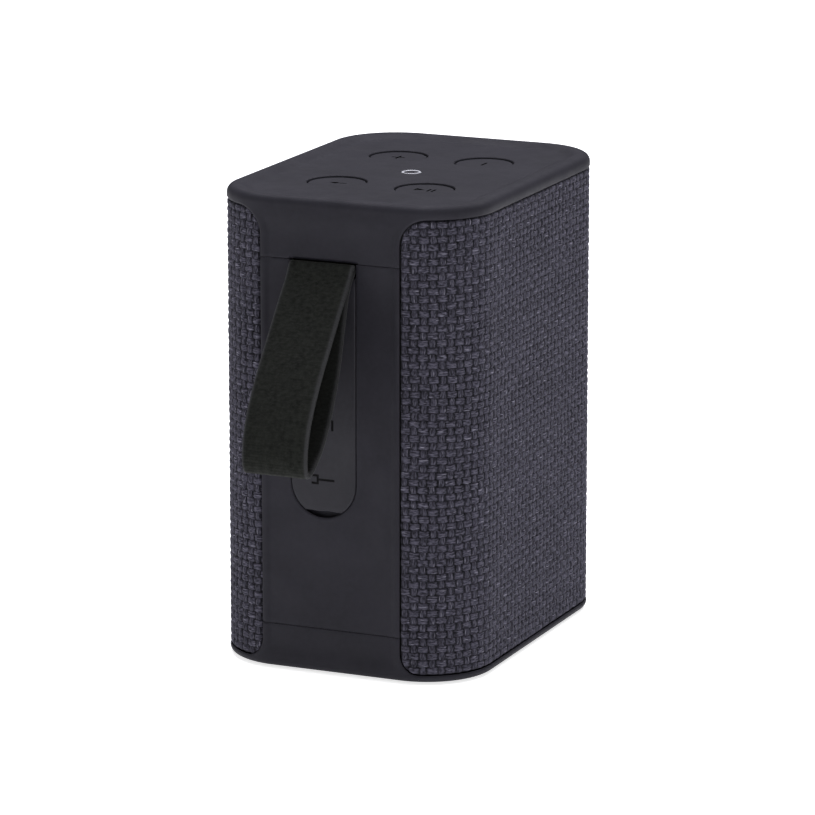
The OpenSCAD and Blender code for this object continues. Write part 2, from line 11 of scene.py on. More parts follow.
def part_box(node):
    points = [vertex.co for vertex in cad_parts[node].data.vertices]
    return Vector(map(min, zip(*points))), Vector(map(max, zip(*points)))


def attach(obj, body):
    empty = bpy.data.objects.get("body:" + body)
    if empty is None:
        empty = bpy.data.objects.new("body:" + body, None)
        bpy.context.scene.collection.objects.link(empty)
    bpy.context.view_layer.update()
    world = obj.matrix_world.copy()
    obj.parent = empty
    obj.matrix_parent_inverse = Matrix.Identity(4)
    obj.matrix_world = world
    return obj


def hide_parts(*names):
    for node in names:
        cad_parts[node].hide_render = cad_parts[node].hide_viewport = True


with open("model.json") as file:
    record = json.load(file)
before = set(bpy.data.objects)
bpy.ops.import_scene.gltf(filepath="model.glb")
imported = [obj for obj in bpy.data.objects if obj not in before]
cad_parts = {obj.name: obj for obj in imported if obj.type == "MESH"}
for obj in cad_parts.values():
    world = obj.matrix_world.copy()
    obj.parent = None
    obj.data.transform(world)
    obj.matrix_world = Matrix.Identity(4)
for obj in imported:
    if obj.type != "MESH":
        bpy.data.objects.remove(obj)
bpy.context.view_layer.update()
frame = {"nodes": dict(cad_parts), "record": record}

RNG = np.random.default_rng(7)

# ---- sizes, in millimetres
MM = 0.001
BASE_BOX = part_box("base_cap")
HALF_W = BASE_BOX[1].x / MM
HALF_D = BASE_BOX[1].y / MM
CORNER = 15.5    # rounding of the body in plan
CX, CY = HALF_W - CORNER, HALF_D - CORNER
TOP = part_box("top_cap")[1].z / MM
BAND_LOW = TOP - 2.8    # underside of the cap's band, where the cloth ends
RIM_TOP = 2.0    # top of the base rim, where the cloth starts
WALL, PANEL_WALL = 1.0, 1.3    # thickness of the caps and of the spine panel

# the cap's profile, from the edge inwards
SHOULDER = 1.7    # rounding of the upper edge
DISH = 0.9    # depth of the dished floor below the rim
FLOOR = TOP - DISH
DISH_START, DISH_RUN = 2.6, 3.6    # where the rim starts to fall, and over what width
FLOOR_IN = 6.9    # where the flat floor starts

# the base's profile
BASE_ROUND = 1.2    # rounding of the lower edge
UNDERSIDE = 0.4    # height of the underside, round the foot
FOOT_IN, FOOT_RECESS = 6.0, 0.9    # the foot's recess: how far in, and up to what height

# the spine, behind
EDGES = (-15.4, 17.3)    # the spine's edges
ARC_HIGH, ARC_LOW = 6.0, 4.5    # rounding of the cloth's rear corners
SEAM_HIGH, SEAM_LOW = 91.5, 10.05
SEAM_GAP = 0.1
PANEL_DEPTH = 0.4
PANEL_Y = HALF_D - PANEL_DEPTH
SEAT_Y = 39.75    # face of the seat behind the port cover
USB_Z, AUX_Z = 43.5, 55.7

# port cover and strap
STRAP_X = 2.6
STRAP_W, STRAP_T = 15.0, 1.35
HINGE_Y, HINGE_Z = 41.6, 90.1
COVER_W, COVER_LOW = 15.2, 35.2
COVER_TOP, COVER_CUT = 88.45, 36.5
COVER_T = 1.5
SLOT_R = COVER_W / 2 + 0.15    # the slot's lower end
SLOT_Z = COVER_LOW + COVER_W / 2
EASE = 0.6    # bevel of the edges that the strap swings past

# buttons and light ring
BUTTON_R, BUTTON_TOP = 6.45, 103.75
BUTTON_GAP, BUTTON_ROUND = 0.15, 0.32
FLANGE = 0.7    # how far a button's flange stands out below the cap
BUTTONS = {"plus": (10.4, -16.6), "minus": (-10.4, -16.6), "play": (-10.4, 16.6), "power": (10.4, 16.6)}
RING_R = 2.2
RING_HOLE = 2.3
COVER_SINK, BUTTON_SINK = 0.2, 0.22    # depth of the sunk marks

# cloth
WARP_PITCH, WEFT_PITCH = 2.06, 1.61    # spacing of the threads
WARP_R, WEFT_R = 0.37, 0.53    # half their widths, as shares of the spacing
WAVE, BULGE = 0.25, 0.42    # how far they rise and fall, and how round they are
CLOTH_GAP = 0.2
CLOTH_LOW, CLOTH_HIGH = RIM_TOP + CLOTH_GAP, BAND_LOW - CLOTH_GAP
PER_THREAD = 5    # points of the mesh across each thread

# ---- small maths
def smooth(t):
    t = np.clip(t, 0, 1)
    return t * t * (3 - 2 * t)

def circle(r, n, centre=(0, 0), a0=0.0, a1=360.0, ends=False):
    a = np.radians(np.linspace(a0, a1, n + 1 if ends else n, endpoint=ends))
    return np.stack([centre[0] + r * np.cos(a), centre[1] + r * np.sin(a)], 1)

def between(a, b, step):
    """Even values from a to b, no further apart than the step."""
    n = max(1, int(math.ceil(abs(b - a) / step)))
    return np.linspace(a, b, n + 1)

def upright(x, zs):
    """Points at one x and many heights."""
    return np.column_stack([np.full(len(zs), x), zs])

def level(points, z):
    """Points at many places and one height."""
    return np.column_stack([points, np.full(len(points), z)])

def flat(uvw):
    """Places points just where they are."""
    return uvw

QUARTER = CORNER * math.pi / 2
LENGTHS = np.array([CX, QUARTER, 2 * CY, QUARTER, 2 * CX, QUARTER, 2 * CY, QUARTER, CX])
GIRTH = LENGTHS.sum()
STARTS = np.concatenate([[0], np.cumsum(LENGTHS)])
CORNERS = np.array([(sx * CX, sy * CY) for sx, sy in ((1, 1), (1, -1), (-1, -1), (-1, 1))])

def outline(s):
    """Points and outward normals of the plan outline, at lengths s from the rear's middle towards +x."""
    s = np.mod(np.asarray(s, float), GIRTH)
    k = np.clip(np.searchsorted(STARTS, s, side="right") - 1, 0, 8)
    t = s - STARTS[k]
    bend = k % 2 == 1
    theta = math.pi / 2 * (1 - (k + 1) // 2)
    theta = np.where(bend, math.pi / 2 * (1 - (k - 1) // 2) - t / CORNER, theta)
    normal = np.stack([np.cos(theta), np.sin(theta)], 1)
    along = np.stack([np.sin(theta), -np.cos(theta)], 1)
    p = CORNERS[np.minimum(k // 2, 3)] + CORNER * normal
    # straight stretches are measured back from the corner that ends them, the last one on from its corner
    left = np.where(bend, 0, STARTS[np.minimum(k + 1, 9)] - s)
    left = np.where(k == 8, -t, left)
    return p - along * left[:, None], normal

def s_of_x(x):
    """Length along the outline of a point of the rear at x."""
    x = np.asarray(x, float)
    over = np.clip(np.abs(x) - CX, 0, CORNER)
    return np.sign(x) * (np.minimum(np.abs(x), CX) + CORNER * np.arcsin(over / CORNER))

def x_of_s(s):
    over = np.clip(np.abs(s) - CX, 0, None)
    return np.sign(s) * (np.minimum(np.abs(s), CX) + CORNER * np.sin(over / CORNER))

def on_body(s, z, depth):
    """Points at lengths s along the outline, at height z, below its surface by the depth."""
    p, n = outline(s)
    xy = p - n * np.broadcast_to(depth, len(p))[:, None]
    return np.column_stack([xy, np.broadcast_to(z, len(xy))])

def inside(points, loop):
    """Which points lie inside a closed polygon."""
    x, y = points[:, 0][:, None], points[:, 1][:, None]
    a, b = loop, np.roll(loop, -1, 0)
    crosses = (a[:, 1] > y) != (b[:, 1] > y)
    with np.errstate(divide="ignore", invalid="ignore"):
        at = (b[:, 0] - a[:, 0]) * (y - a[:, 1]) / (b[:, 1] - a[:, 1]) + a[:, 0]
    return (np.sum(crosses & (x < at), 1) % 2) == 1

def triangles(loops, inner=None):
    """Triangulates all the points with the loops as fixed edges: points, triangles and triangle centres."""
    points = [Vector(p) for loop in loops for p in loop]
    edges, k = [], 0
    for loop in loops:
        n = len(loop)
        edges += [(k + i, k + (i + 1) % n) for i in range(n)]
        k += n
    if inner is not None:
        points += [Vector(p) for p in inner]
    v, _, f, *_ = delaunay_2d_cdt(points, edges, [], 0, 1e-7)
    co = np.array([p[:] for p in v])
    tri = np.array([t for t in f if len(t) == 3])
    return co, tri, co[tri].mean(1)

def catmull(points, step):
    """A smooth open curve through the points at even steps, and the length run up to each."""
    p = np.array(points, float)
    ext = np.vstack([2 * p[0] - p[1], p, 2 * p[-1] - p[-2]])
    out = []
    t = np.linspace(0, 1, 24, endpoint=False)[:, None]
    for i in range(1, len(ext) - 2):
        a, b, c, d = ext[i - 1: i + 3]
        square, cube = 2 * a - 5 * b + 4 * c - d, 3 * b - a - 3 * c + d
        out.append(0.5 * (2 * b + (c - a) * t + square * t ** 2 + cube * t ** 3))
    q = np.vstack(out + [p[-1:]])
    run = np.concatenate([[0], np.cumsum(np.linalg.norm(np.diff(q, axis=0), axis=1))])
    at = np.linspace(0, run[-1], int(round(run[-1] / step)) + 1)
    return np.stack([np.interp(at, run, q[:, i]) for i in range(q.shape[1])], 1), at

# ---- mesh building
class Skin:
    """Collects patches of points in millimetres and makes one object of them."""

    def __init__(self):
        self.v, self.f, self.m = [], [], []

    def add(self, points):
        """Adds points and returns the number of the first one."""
        first = sum(len(p) for p in self.v)
        self.v.append(np.asarray(points, float).reshape(-1, 3))
        return first

    def faces(self, faces, mat=0):
        self.f += [tuple(int(i) for i in f) for f in faces]
        self.m += [mat] * len(faces)

    def grid(self, points, closed=False, mat=0):
        """points is rows x columns x 3; closed joins the last column to the first."""
        points = np.asarray(points, float)
        rows, cols = points.shape[:2]
        first = self.add(points)
        i = np.arange(rows - 1)[:, None] * cols
        j = np.arange(cols if closed else cols - 1)[None, :]
        nxt = (j + 1) % cols
        quads = np.stack([i + j, i + nxt, i + cols + nxt, i + cols + j], -1).reshape(-1, 4) + first
        self.faces(quads.tolist(), mat)
        return first

    def loft(self, loops, heights, place, cap_low=False, cap_high=False, mat=0):
        """Closed loops of the same number of points, each at its own height, placed by a function."""
        rows = [place(level(loop, h)) for loop, h in zip(loops, heights)]
        first = self.grid(np.array(rows), closed=True, mat=mat)
        n = len(loops[0])
        if cap_low:
            self.faces([tuple(range(first + n - 1, first - 1, -1))], mat)
        if cap_high:
            last = first + n * (len(loops) - 1)
            self.faces([tuple(range(last, last + n))], mat)

    def area(self, loops, place, inner=None, height=0.0, marks=(), sink=0.0, mat=0, mark_shade_mat=0):
        """Fills the first loop, less the other loops. Marks are sunk into it, with walls of their own; their
        floors and walls take the second material, a dark painted shade.
        """
        co, tri, mid = triangles(list(loops) + list(marks), inner)
        keep = inside(mid, loops[0])
        for hole in loops[1:]:
            keep &= ~inside(mid, hole)
        low = np.zeros(len(tri), bool)
        for m in marks:
            low |= inside(mid, m)
        first = self.add(place(level(co, height)))
        self.faces((tri[keep & ~low] + first).tolist(), mat)
        if not len(marks):
            return
        first = self.add(place(level(co, height - sink)))
        self.faces((tri[keep & low] + first).tolist(), mark_shade_mat)
        for m in marks:
            a = self.add(place(level(m, height)))
            b = self.add(place(level(m, height - sink)))
            n = len(m)
            walls = [(a + i, a + (i + 1) % n, b + (i + 1) % n, b + i) for i in range(n)]
            self.faces(walls, mark_shade_mat)

    def build(self, name, mats, body, outwards=None, thick=0.0, sharp=35, replaces=(), data=None):
        """Welds the patches, thickens them inwards, and puts the object on its body."""
        mesh = bpy.data.meshes.new(name)
        v = np.vstack(self.v) * MM
        mesh.from_pydata(v.tolist(), [], self.f)
        mesh.polygons.foreach_set("material_index", np.array(self.m, np.int32))
        for m in mats:
            mesh.materials.append(m)
        if data:
            data(mesh)
        weld(mesh, outwards)
        obj = bpy.data.objects.new(name, mesh)
        bpy.context.scene.collection.objects.link(obj)
        if thick:
            mod = obj.modifiers.new("thick", "SOLIDIFY")
            mod.thickness = thick * MM
            mod.offset = -1
            settle(obj)
        obj.data.shade_smooth()
        obj.data.set_sharp_from_angle(angle=math.radians(sharp))
        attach(obj, body)
        if replaces:
            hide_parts(*replaces)
        return obj

def weld(mesh, outwards):
    """Joins patches that share points, and makes the faces look outwards."""
    bm = bmesh.new()
    bm.from_mesh(mesh)
    bmesh.ops.remove_doubles(bm, verts=bm.verts, dist=1.5e-6)
    bmesh.ops.dissolve_degenerate(bm, edges=bm.edges, dist=1e-7)
    loose = [x for x in bm.verts if not x.link_faces]
    bmesh.ops.delete(bm, geom=loose, context="VERTS")
    bmesh.ops.recalc_face_normals(bm, faces=bm.faces)
    if outwards is not None:
        turn_out(bm, Vector(outwards) * MM)
    bm.to_mesh(mesh)
    bm.free()

def turn_out(bm, centre):
    """Turns each connected patch so that its faces look away from the centre."""
    bm.faces.ensure_lookup_table()
    seen = set()
    for face in bm.faces:
        if face.index in seen:
            continue
        patch, stack = [], [face]
        seen.add(face.index)
        while stack:
            f = stack.pop()
            patch.append(f)
            for e in f.edges:
                for g in e.link_faces:
                    if g.index not in seen:
                        seen.add(g.index)
                        stack.append(g)
        out = sum(f.calc_area() * f.normal.dot(f.calc_center_median() - centre) for f in patch)
        if out < 0:
            bmesh.ops.reverse_faces(bm, faces=patch)

def settle(obj):
    """Applies the object's modifiers."""
    dg = bpy.context.evaluated_depsgraph_get()
    dg.update()
    mesh = bpy.data.meshes.new_from_object(obj.evaluated_get(dg), preserve_all_data_layers=True, depsgraph=dg)
    obj.modifiers.clear()
    obj.data = mesh

def mark_points(mesh, attribute, colours, **uv_layers):
    """Stores a colour for each point of the mesh, and UV layers given point by point."""
    at = mesh.attributes.new(attribute, "FLOAT_COLOR", "POINT")
    at.data.foreach_set("color", colours.astype(np.float32).ravel())
    index = np.zeros(len(mesh.loops), np.int32)
    mesh.loops.foreach_get("vertex_index", index)
    for name, values in uv_layers.items():
        layer = mesh.uv_layers.new(name=name)
        layer.data.foreach_set("uv", values[index].astype(np.float32).ravel())

def inset(loop, d):
    """The loop moved inwards by d; the loop runs anticlockwise."""
    e = np.roll(loop, -1, 0) - loop
    e = e / np.linalg.norm(e, axis=1)[:, None]
    n = np.stack([-e[:, 1], e[:, 0]], 1)
    before = np.roll(n, 1, 0)
    return loop + d * (n + before) / (1 + np.sum(n * before, 1))[:, None]

def soft_edge(loop, r, low, high, steps=5):
    """Loops and heights of a wall from low to high with a rounded upper edge."""
    loops, heights = [loop, loop], [low, high - r]
    for i in range(1, steps + 1):
        a = math.pi / 2 * i / steps
        loops.append(inset(loop, r * (1 - math.cos(a))))
        heights.append(high - r + r * math.sin(a))
    return loops, heights

def rect(w, h, r=0.0, centre=(0, 0), n=4):
    """A rectangle, with round corners if r is given, anticlockwise."""
    if r <= 0:
        return np.array([[-w / 2, -h / 2], [w / 2, -h / 2], [w / 2, h / 2], [-w / 2, h / 2]]) + centre
    out = []
    for k, (sx, sy) in enumerate(((1, -1), (1, 1), (-1, 1), (-1, -1))):
        out.append(circle(r, n, (sx * (w / 2 - r), sy * (h / 2 - r)), -90 + 90 * k, 90 * k, ends=True))
    return np.vstack(out) + centre

# ---- materials
class Look:
    """A procedural material on the object's own coordinates."""

    def __init__(self, name, uv=None):
        self.m = bpy.data.materials.new(name)
        self.m.use_nodes = True
        self.t = self.m.node_tree
        self.b = self.t.nodes["Principled BSDF"]
        self.at = self.uv(uv) if uv else self.node("ShaderNodeTexCoord").outputs["Object"]

    def node(self, kind, **props):
        n = self.t.nodes.new(kind)
        for k, v in props.items():
            setattr(n, k, v)
        return n

    def put(self, socket, value):
        if isinstance(value, bpy.types.NodeSocket):
            self.t.links.new(value, socket)
        else:
            socket.default_value = value

    def uv(self, name):
        return self.node("ShaderNodeUVMap", uv_map=name).outputs["UV"]

    def stretch(self, sx, sy, sz=1.0, turn=0.0):
        """The coordinates scaled and then turned."""
        n = self.node("ShaderNodeMapping")
        self.put(n.inputs["Vector"], self.at)
        n.inputs["Scale"].default_value = (sx, sy, sz)
        n.inputs["Rotation"].default_value = (0, 0, turn)
        return n.outputs["Vector"]

    def noise(self, scale, detail=2.0, rough=0.5, at=None, distort=0.0):
        n = self.node("ShaderNodeTexNoise")
        self.put(n.inputs["Vector"], at or self.at)
        n.inputs["Scale"].default_value = scale
        n.inputs["Detail"].default_value = detail
        n.inputs["Roughness"].default_value = rough
        n.inputs["Distortion"].default_value = distort
        return n.outputs["Fac"]

    def span(self, value, a, b, c, d):
        """value from a..b to c..d, clamped."""
        n = self.node("ShaderNodeMapRange")
        for k, x in zip(("Value", "From Min", "From Max", "To Min", "To Max"), (value, a, b, c, d)):
            self.put(n.inputs[k], x)
        return n.outputs["Result"]

    def math(self, op, a, b=0.0):
        n = self.node("ShaderNodeMath", operation=op)
        self.put(n.inputs[0], a)
        self.put(n.inputs[1], b)
        return n.outputs["Value"]

    def mix(self, fac, a, b):
        n = self.node("ShaderNodeMix", data_type="RGBA")
        self.put(n.inputs["Factor"], fac)
        self.put(n.inputs[6], a if isinstance(a, bpy.types.NodeSocket) else (*a, 1))
        self.put(n.inputs[7], b if isinstance(b, bpy.types.NodeSocket) else (*b, 1))
        return n.outputs[2]

    def bump(self, height, strength, distance, over=None):
        n = self.node("ShaderNodeBump")
        n.inputs["Strength"].default_value = strength
        n.inputs["Distance"].default_value = distance
        self.put(n.inputs["Height"], height)
        if over is not None:
            self.put(n.inputs["Normal"], over)
        return n.outputs["Normal"]

    def channels(self, attribute):
        """The first three numbers that the mesh stores in an attribute."""
        split = self.node("ShaderNodeSeparateColor")
        self.put(split.inputs[0], self.node("ShaderNodeAttribute", attribute_name=attribute).outputs["Color"])
        return split.outputs

    def set(self, **values):
        names = {"color": "Base Color", "rough": "Roughness", "metal": "Metallic", "normal": "Normal",
                 "spec": "Specular IOR Level", "sheen": "Sheen Weight", "sheen_rough": "Sheen Roughness",
                 "emit": "Emission Color", "emit_strength": "Emission Strength", "tint": "Sheen Tint"}
        for k, v in values.items():
            if hasattr(v, "__len__") and not isinstance(v, bpy.types.NodeSocket) and len(v) == 3:
                v = (*v, 1)
            self.put(self.b.inputs[names[k]], v)
        return self.m

def scaled(colour, k):
    return tuple(min(1, c * k) for c in colour)

def moulded(name, base, rough=0.5, grain=1.0, spec=0.4, worn=0.12):
    """Moulded plastic with a fine matt grain and faint mottling."""
    k = Look(name)
    mottle = k.noise(60, 3, 0.6)
    fine = k.noise(2600, 2, 0.6)
    speck = k.noise(900, 2, 0.5)
    color = k.mix(k.span(mottle, 0.35, 0.65, 0, 1), scaled(base, 1 - worn), scaled(base, 1 + worn))
    color = k.mix(k.span(speck, 0.35, 0.75, 0, 0.25), color, scaled(base, 1.35))
    r = k.span(k.noise(140, 3, 0.6), 0.3, 0.7, rough - 0.05, rough + 0.06)
    normal = k.bump(speck, 0.10 * grain, 0.0002)
    normal = k.bump(fine, 0.16 * grain, 0.00008, normal)
    return k.set(color=color, rough=r, spec=spec, normal=normal)

def metal(name, base, rough=0.32):
    """Lightly brushed metal."""
    k = Look(name)
    brushed = k.noise(900, 2, 0.5, at=k.stretch(1, 1, 12))
    color = k.mix(k.span(k.noise(300, 2), 0.3, 0.7, 0, 1), scaled(base, 0.85), base)
    return k.set(color=color, metal=1.0, rough=k.span(brushed, 0.3, 0.7, rough - 0.08, rough + 0.1),
                 normal=k.bump(brushed, 0.1, 0.0001))

def coated(name, base, rough, scale, strength):
    """A plain coated or pressed surface: paper, ferrite, board, rubber."""
    k = Look(name)
    n = k.noise(scale, 4, 0.6)
    color = k.mix(k.span(n, 0.3, 0.7, 0, 1), scaled(base, 0.75), scaled(base, 1.2))
    return k.set(color=color, rough=k.span(k.noise(scale / 4, 2), 0.3, 0.7, rough - 0.08, rough + 0.08),
                 normal=k.bump(n, strength, 0.0002))

def thread_level(k):
    """How far the weft is above the warp, worked out as the mesh is but finer than its points."""
    cells = k.node("ShaderNodeSeparateXYZ")
    k.put(cells.inputs[0], k.uv("cells"))
    u, v = cells.outputs[0], cells.outputs[1]
    parity = k.math("MODULO", k.math("ADD", k.math("FLOOR", u), k.math("FLOOR", v)), 2.0)
    over = k.math("SUBTRACT", 1.0, k.math("MULTIPLY", parity, 2.0))
    wave, bulge = [], []
    for along, radius in ((u, WARP_R), (v, WEFT_R)):
        off = k.math("SUBTRACT", k.math("FRACT", along), 0.5)
        wave.append(k.math("COSINE", k.math("MULTIPLY", off, math.pi)))
        fill = k.math("POWER", k.math("DIVIDE", k.math("ABSOLUTE", off), radius), 3.0)
        bulge.append(k.math("SQRT", k.math("MAXIMUM", k.math("SUBTRACT", 1.0, fill), 0.0)))
    swing = k.math("MULTIPLY", k.math("MULTIPLY", k.math("ADD", wave[0], wave[1]), over), WAVE)
    return k.math("ADD", swing, k.math("MULTIPLY", k.math("SUBTRACT", bulge[1], bulge[0]), BULGE))

def cloth_look():
    """Tweedy plain weave: each thread is spun from light and dark fibres that run along it."""
    k = Look("cloth", uv="weave")
    height, tone = k.channels("weave_info")[:2]
    apart = thread_level(k)
    ragged = k.math("MULTIPLY", k.math("SUBTRACT", k.noise(1, 2, 0.6, k.stretch(1500, 1500)), 0.5), 0.35)
    # seam masks the lines where the threads meet; below, it darkens them as painted shade
    seam = k.span(k.math("ABSOLUTE", k.math("ADD", apart, ragged)), 0.06, 0.30, 1.0, 0.0)
    weft = k.span(apart, -0.01, 0.01, 0.0, 1.0)

    def along(long, short, detail, rough, turns, distort=0.0):
        """Noise drawn out along the threads: up and down on the warp, sideways on the weft."""
        upright_noise = k.noise(1, detail, rough, k.stretch(short, long, 1, turns[0]), distort)
        sideways_noise = k.noise(1, detail, rough, k.stretch(long, short, 1, turns[1]), distort)
        return k.mix(weft, upright_noise, sideways_noise)
    fibres = along(1100, 4200, 3, 0.65, (0.35, 0.35), 0.3)
    strands = along(800, 2500, 2, 0.55, (0.45, 0.45))
    stray = along(420, 4200, 1, 0.4, (0.5, -0.4))
    color = k.mix(k.span(fibres, 0.30, 0.72, 0, 1), (0.010, 0.010, 0.013), (0.083, 0.079, 0.109))
    color = k.mix(k.span(strands, 0.50, 0.64, 0, 0.65), color, (0.118, 0.113, 0.151))
    color = k.mix(k.span(strands, 0.34, 0.47, 0.88, 0.0), color, (0.004, 0.004, 0.005))
    color = k.mix(k.span(tone, 0.0, 1.0, 0.0, 0.25), color, (0.086, 0.082, 0.113))
    color = k.mix(k.span(stray, 0.66, 0.73, 0, 0.7), color, (0.30, 0.29, 0.36))
    color = k.mix(weft, k.mix(0.24, color, (0.006, 0.006, 0.008)), color)
    # painted shade: the threads' meeting lines and the hollows between them are darkened where shade would
    # fall
    color = k.mix(k.math("MULTIPLY", seam, 0.92), color, (0.003, 0.003, 0.004))
    color = k.mix(k.span(height, 0.25, 0.65, 0.85, 0.0), color, (0.0015, 0.0015, 0.002))
    normal = k.bump(strands, 0.75, 0.00035)
    normal = k.bump(fibres, 0.7, 0.00015, normal)
    return k.set(color=color, rough=0.86, spec=0.12, sheen=0.06, sheen_rough=0.45,
                 tint=(0.86, 0.84, 1.0), normal=normal)

def webbing_look():
    """Close-woven strap: fine ribs across, mottled fibres, paler edges, and painted shade on the loop's inner
    face.
    """
    k = Look("webbing", uv="band")
    edge, inner = k.channels("band_info")[:2]
    mottle = k.noise(1, 4, 0.65, k.stretch(900, 1300))
    coarse = k.noise(1, 3, 0.6, k.stretch(230, 330))
    fine = k.noise(1, 2, 0.6, k.stretch(3800, 3000))
    color = k.mix(k.span(mottle, 0.32, 0.7, 0, 1), (0.0030, 0.0037, 0.0028), (0.0158, 0.0174, 0.0146))
    color = k.mix(k.span(coarse, 0.4, 0.65, 0, 0.35), color, (0.0170, 0.0186, 0.0157))
    color = k.mix(k.span(fine, 0.62, 0.75, 0, 0.4), color, (0.030, 0.033, 0.028))
    color = k.mix(k.math("MULTIPLY", edge, 0.55), color, (0.050, 0.050, 0.054))
    # painted shade: the loop's inner face is darkened as if it lay in the strap's own shade
    color = k.mix(k.math("MULTIPLY", inner, 0.5), color, (0.003, 0.0034, 0.0028))
    ribs = k.node("ShaderNodeTexWave", wave_type="BANDS", bands_direction="Y")
    k.put(ribs.inputs["Vector"], k.at)
    ribs.inputs["Scale"].default_value = 520
    ribs.inputs["Distortion"].default_value = 1.6
    ribs.inputs["Detail"].default_value = 2
    ribs.inputs["Detail Scale"].default_value = 3
    normal = k.bump(ribs.outputs["Fac"], 0.16, 0.0002)
    normal = k.bump(mottle, 0.55, 0.00025, normal)
    normal = k.bump(fine, 0.4, 0.0001, normal)
    return k.set(color=color, rough=0.88, spec=0.12, sheen=0.03, sheen_rough=0.5, normal=normal)

def light_look():
    """The ring's frosted light guide, faintly lit."""
    k = Look("light")
    return k.set(color=(0.55, 0.56, 0.60), rough=k.span(k.noise(700, 2), 0.3, 0.7, 0.25, 0.4),
                 emit=k.mix(k.noise(500, 2), (0.92, 0.95, 1.0), (1.0, 1.0, 1.0)), emit_strength=0.05)

PLASTIC = (0.0185, 0.0178, 0.0236)
SHELL = moulded("shell", PLASTIC, rough=0.64, spec=0.15)
BUTTON = moulded("buttons", PLASTIC, rough=0.64, spec=0.15)
# painted shade: the sunk marks' floors and walls get a near-black plastic, so they look dark as if in shadow
MARK_SHADE = moulded("sunk_marks_painted_shade", (0.003, 0.003, 0.0035), rough=0.6, grain=0.4, spec=0.1)
COVER = moulded("cover", (0.0185, 0.018, 0.023), rough=0.55, spec=0.22, grain=1.3)
CLOTH = cloth_look()
WEBBING = webbing_look()
GLOW = light_look()
LOOKS = {
    "shell": SHELL, "buttons": BUTTON, "cover": COVER, "cloth": CLOTH, "webbing": WEBBING, "light": GLOW,
    "inner_shell": moulded("inner_shell", (0.018, 0.018, 0.019), rough=0.55),
    "rubber": coated("rubber", (0.012, 0.012, 0.012), 0.75, 800, 0.3),
    "steel": metal("steel", (0.55, 0.56, 0.58)),
    "board": coated("board", (0.012, 0.07, 0.035), 0.4, 500, 0.1),
    "chips": coated("chips", (0.015, 0.015, 0.016), 0.5, 900, 0.1),
    "ferrite": coated("ferrite", (0.05, 0.05, 0.052), 0.55, 700, 0.3),
    "cone": coated("cone", (0.04, 0.04, 0.04), 0.8, 1200, 0.5),
    "spider": coated("spider", (0.42, 0.3, 0.12), 0.85, 1800, 0.5),
    "copper": metal("copper", (0.75, 0.36, 0.18), 0.3),
    "cell": coated("cell", (0.03, 0.09, 0.22), 0.3, 300, 0.05),
    "wire": coated("wire", (0.4, 0.02, 0.02), 0.4, 600, 0.1),
}

# every CAD node gets its slot's material; those that a piece replaces don't show
for row in frame["record"]["subparts"]:
    shown = frame["nodes"][row["node"]]
    shown.data.materials.clear()
    shown.data.materials.append(LOOKS[row["material_slot"]])

# ---- the rear's relief
RIM_FLAT, RIM_FALL = 0.85, 1.35    # the raised strip beside the cloth: its width, and its slope's
PANEL_TOP, PANEL_FADE_HIGH = 96.5, 5.0    # where the spine's hollow fades above, and how slowly
PANEL_FOOT, PANEL_FADE_LOW = 2.2, 3.5    # and the same below
SEAM_ROUND = (0.2, 0.12)    # width and depth of the rounding beside a seam
OFFSETS = np.array([0.08, 0.18, 0.35, 0.6, 0.85, 1.1, 1.4, 1.7, 2.0, 2.25, 2.7])    # points across the strip
BESIDE = 3.0    # the strip with points of its own
REAR_STEP, AROUND_STEP = 0.6, 0.7

def cloth_gap(x, z):
    """Distance from the cloth's edge of a point of the rear, into the plain strip."""
    x, z = np.asarray(x, float), np.asarray(z, float)
    high, low = BAND_LOW - ARC_HIGH, RIM_TOP + ARC_LOW
    best = np.full(np.broadcast(x, z).shape, 1e9)
    for edge, side in zip(EDGES, (1, -1)):
        gap = (x - edge) * side
        for z_arc, r, up in ((high, ARC_HIGH, 1), (low, ARC_LOW, -1)):
            beyond = (z - z_arc) * up > 0
            x_arc = edge - side * r
            gap = np.where(beyond, np.hypot(np.maximum((x - x_arc) * side, 0), z - z_arc) - r, gap)
        best = np.minimum(best, gap)
    return best

def edge_dip(d, width=0.35, depth=0.2):
    """How far a rounded edge has fallen at a distance from it."""
    return depth * (1 - smooth(d / width))

def relief(x, z):
    """Depth of the rear's surface below the plain outline."""
    d = cloth_gap(x, z)
    hollow = PANEL_DEPTH * smooth((d - RIM_FLAT) / RIM_FALL)
    hollow = hollow * (1 - smooth((z - PANEL_TOP) / PANEL_FADE_HIGH))
    hollow = hollow * smooth((z - PANEL_FOOT) / PANEL_FADE_LOW)
    return edge_dip(d) + hollow

def on_rear(uvw):
    """Places (x, z, extra depth) on the rear."""
    x, z, extra = uvw.T
    return on_body(s_of_x(x), z, relief(x, z) + extra)

def lattice(x0, x1, dx, z0, z1, dz):
    """Points in rows and columns."""
    gx, gz = np.meshgrid(np.arange(x0, x1, dx), np.arange(z0, z1, dz))
    return np.column_stack([gx.ravel(), gz.ravel()])

def rounded(r, degrees):
    """Steps of a quarter round: how far in from its edge, and how far along."""
    return [(r * (1 - math.cos(a)), r * math.sin(a)) for a in np.radians(degrees)]

# ---- caps and spine
def around(r):
    """Lengths along the outline behind, as far as the cloth's round corners reach, and round the rest."""
    s_rear = s_of_x(between(EDGES[0] - r, EDGES[1] + r, REAR_STEP))
    return s_rear, between(s_rear[-1], GIRTH + s_rear[0], AROUND_STEP)

def hoop(skin, s_rear, s_long, profile):
    """Lofts a profile of (depth, height) round the body and returns its inner edge."""
    s_all = np.concatenate([s_rear[:-1], s_long[:-1]])
    skin.grid([on_body(s_all, z, d) for d, z in profile], closed=True)
    p, n = outline(s_all)
    return p - n * profile[-1][0]

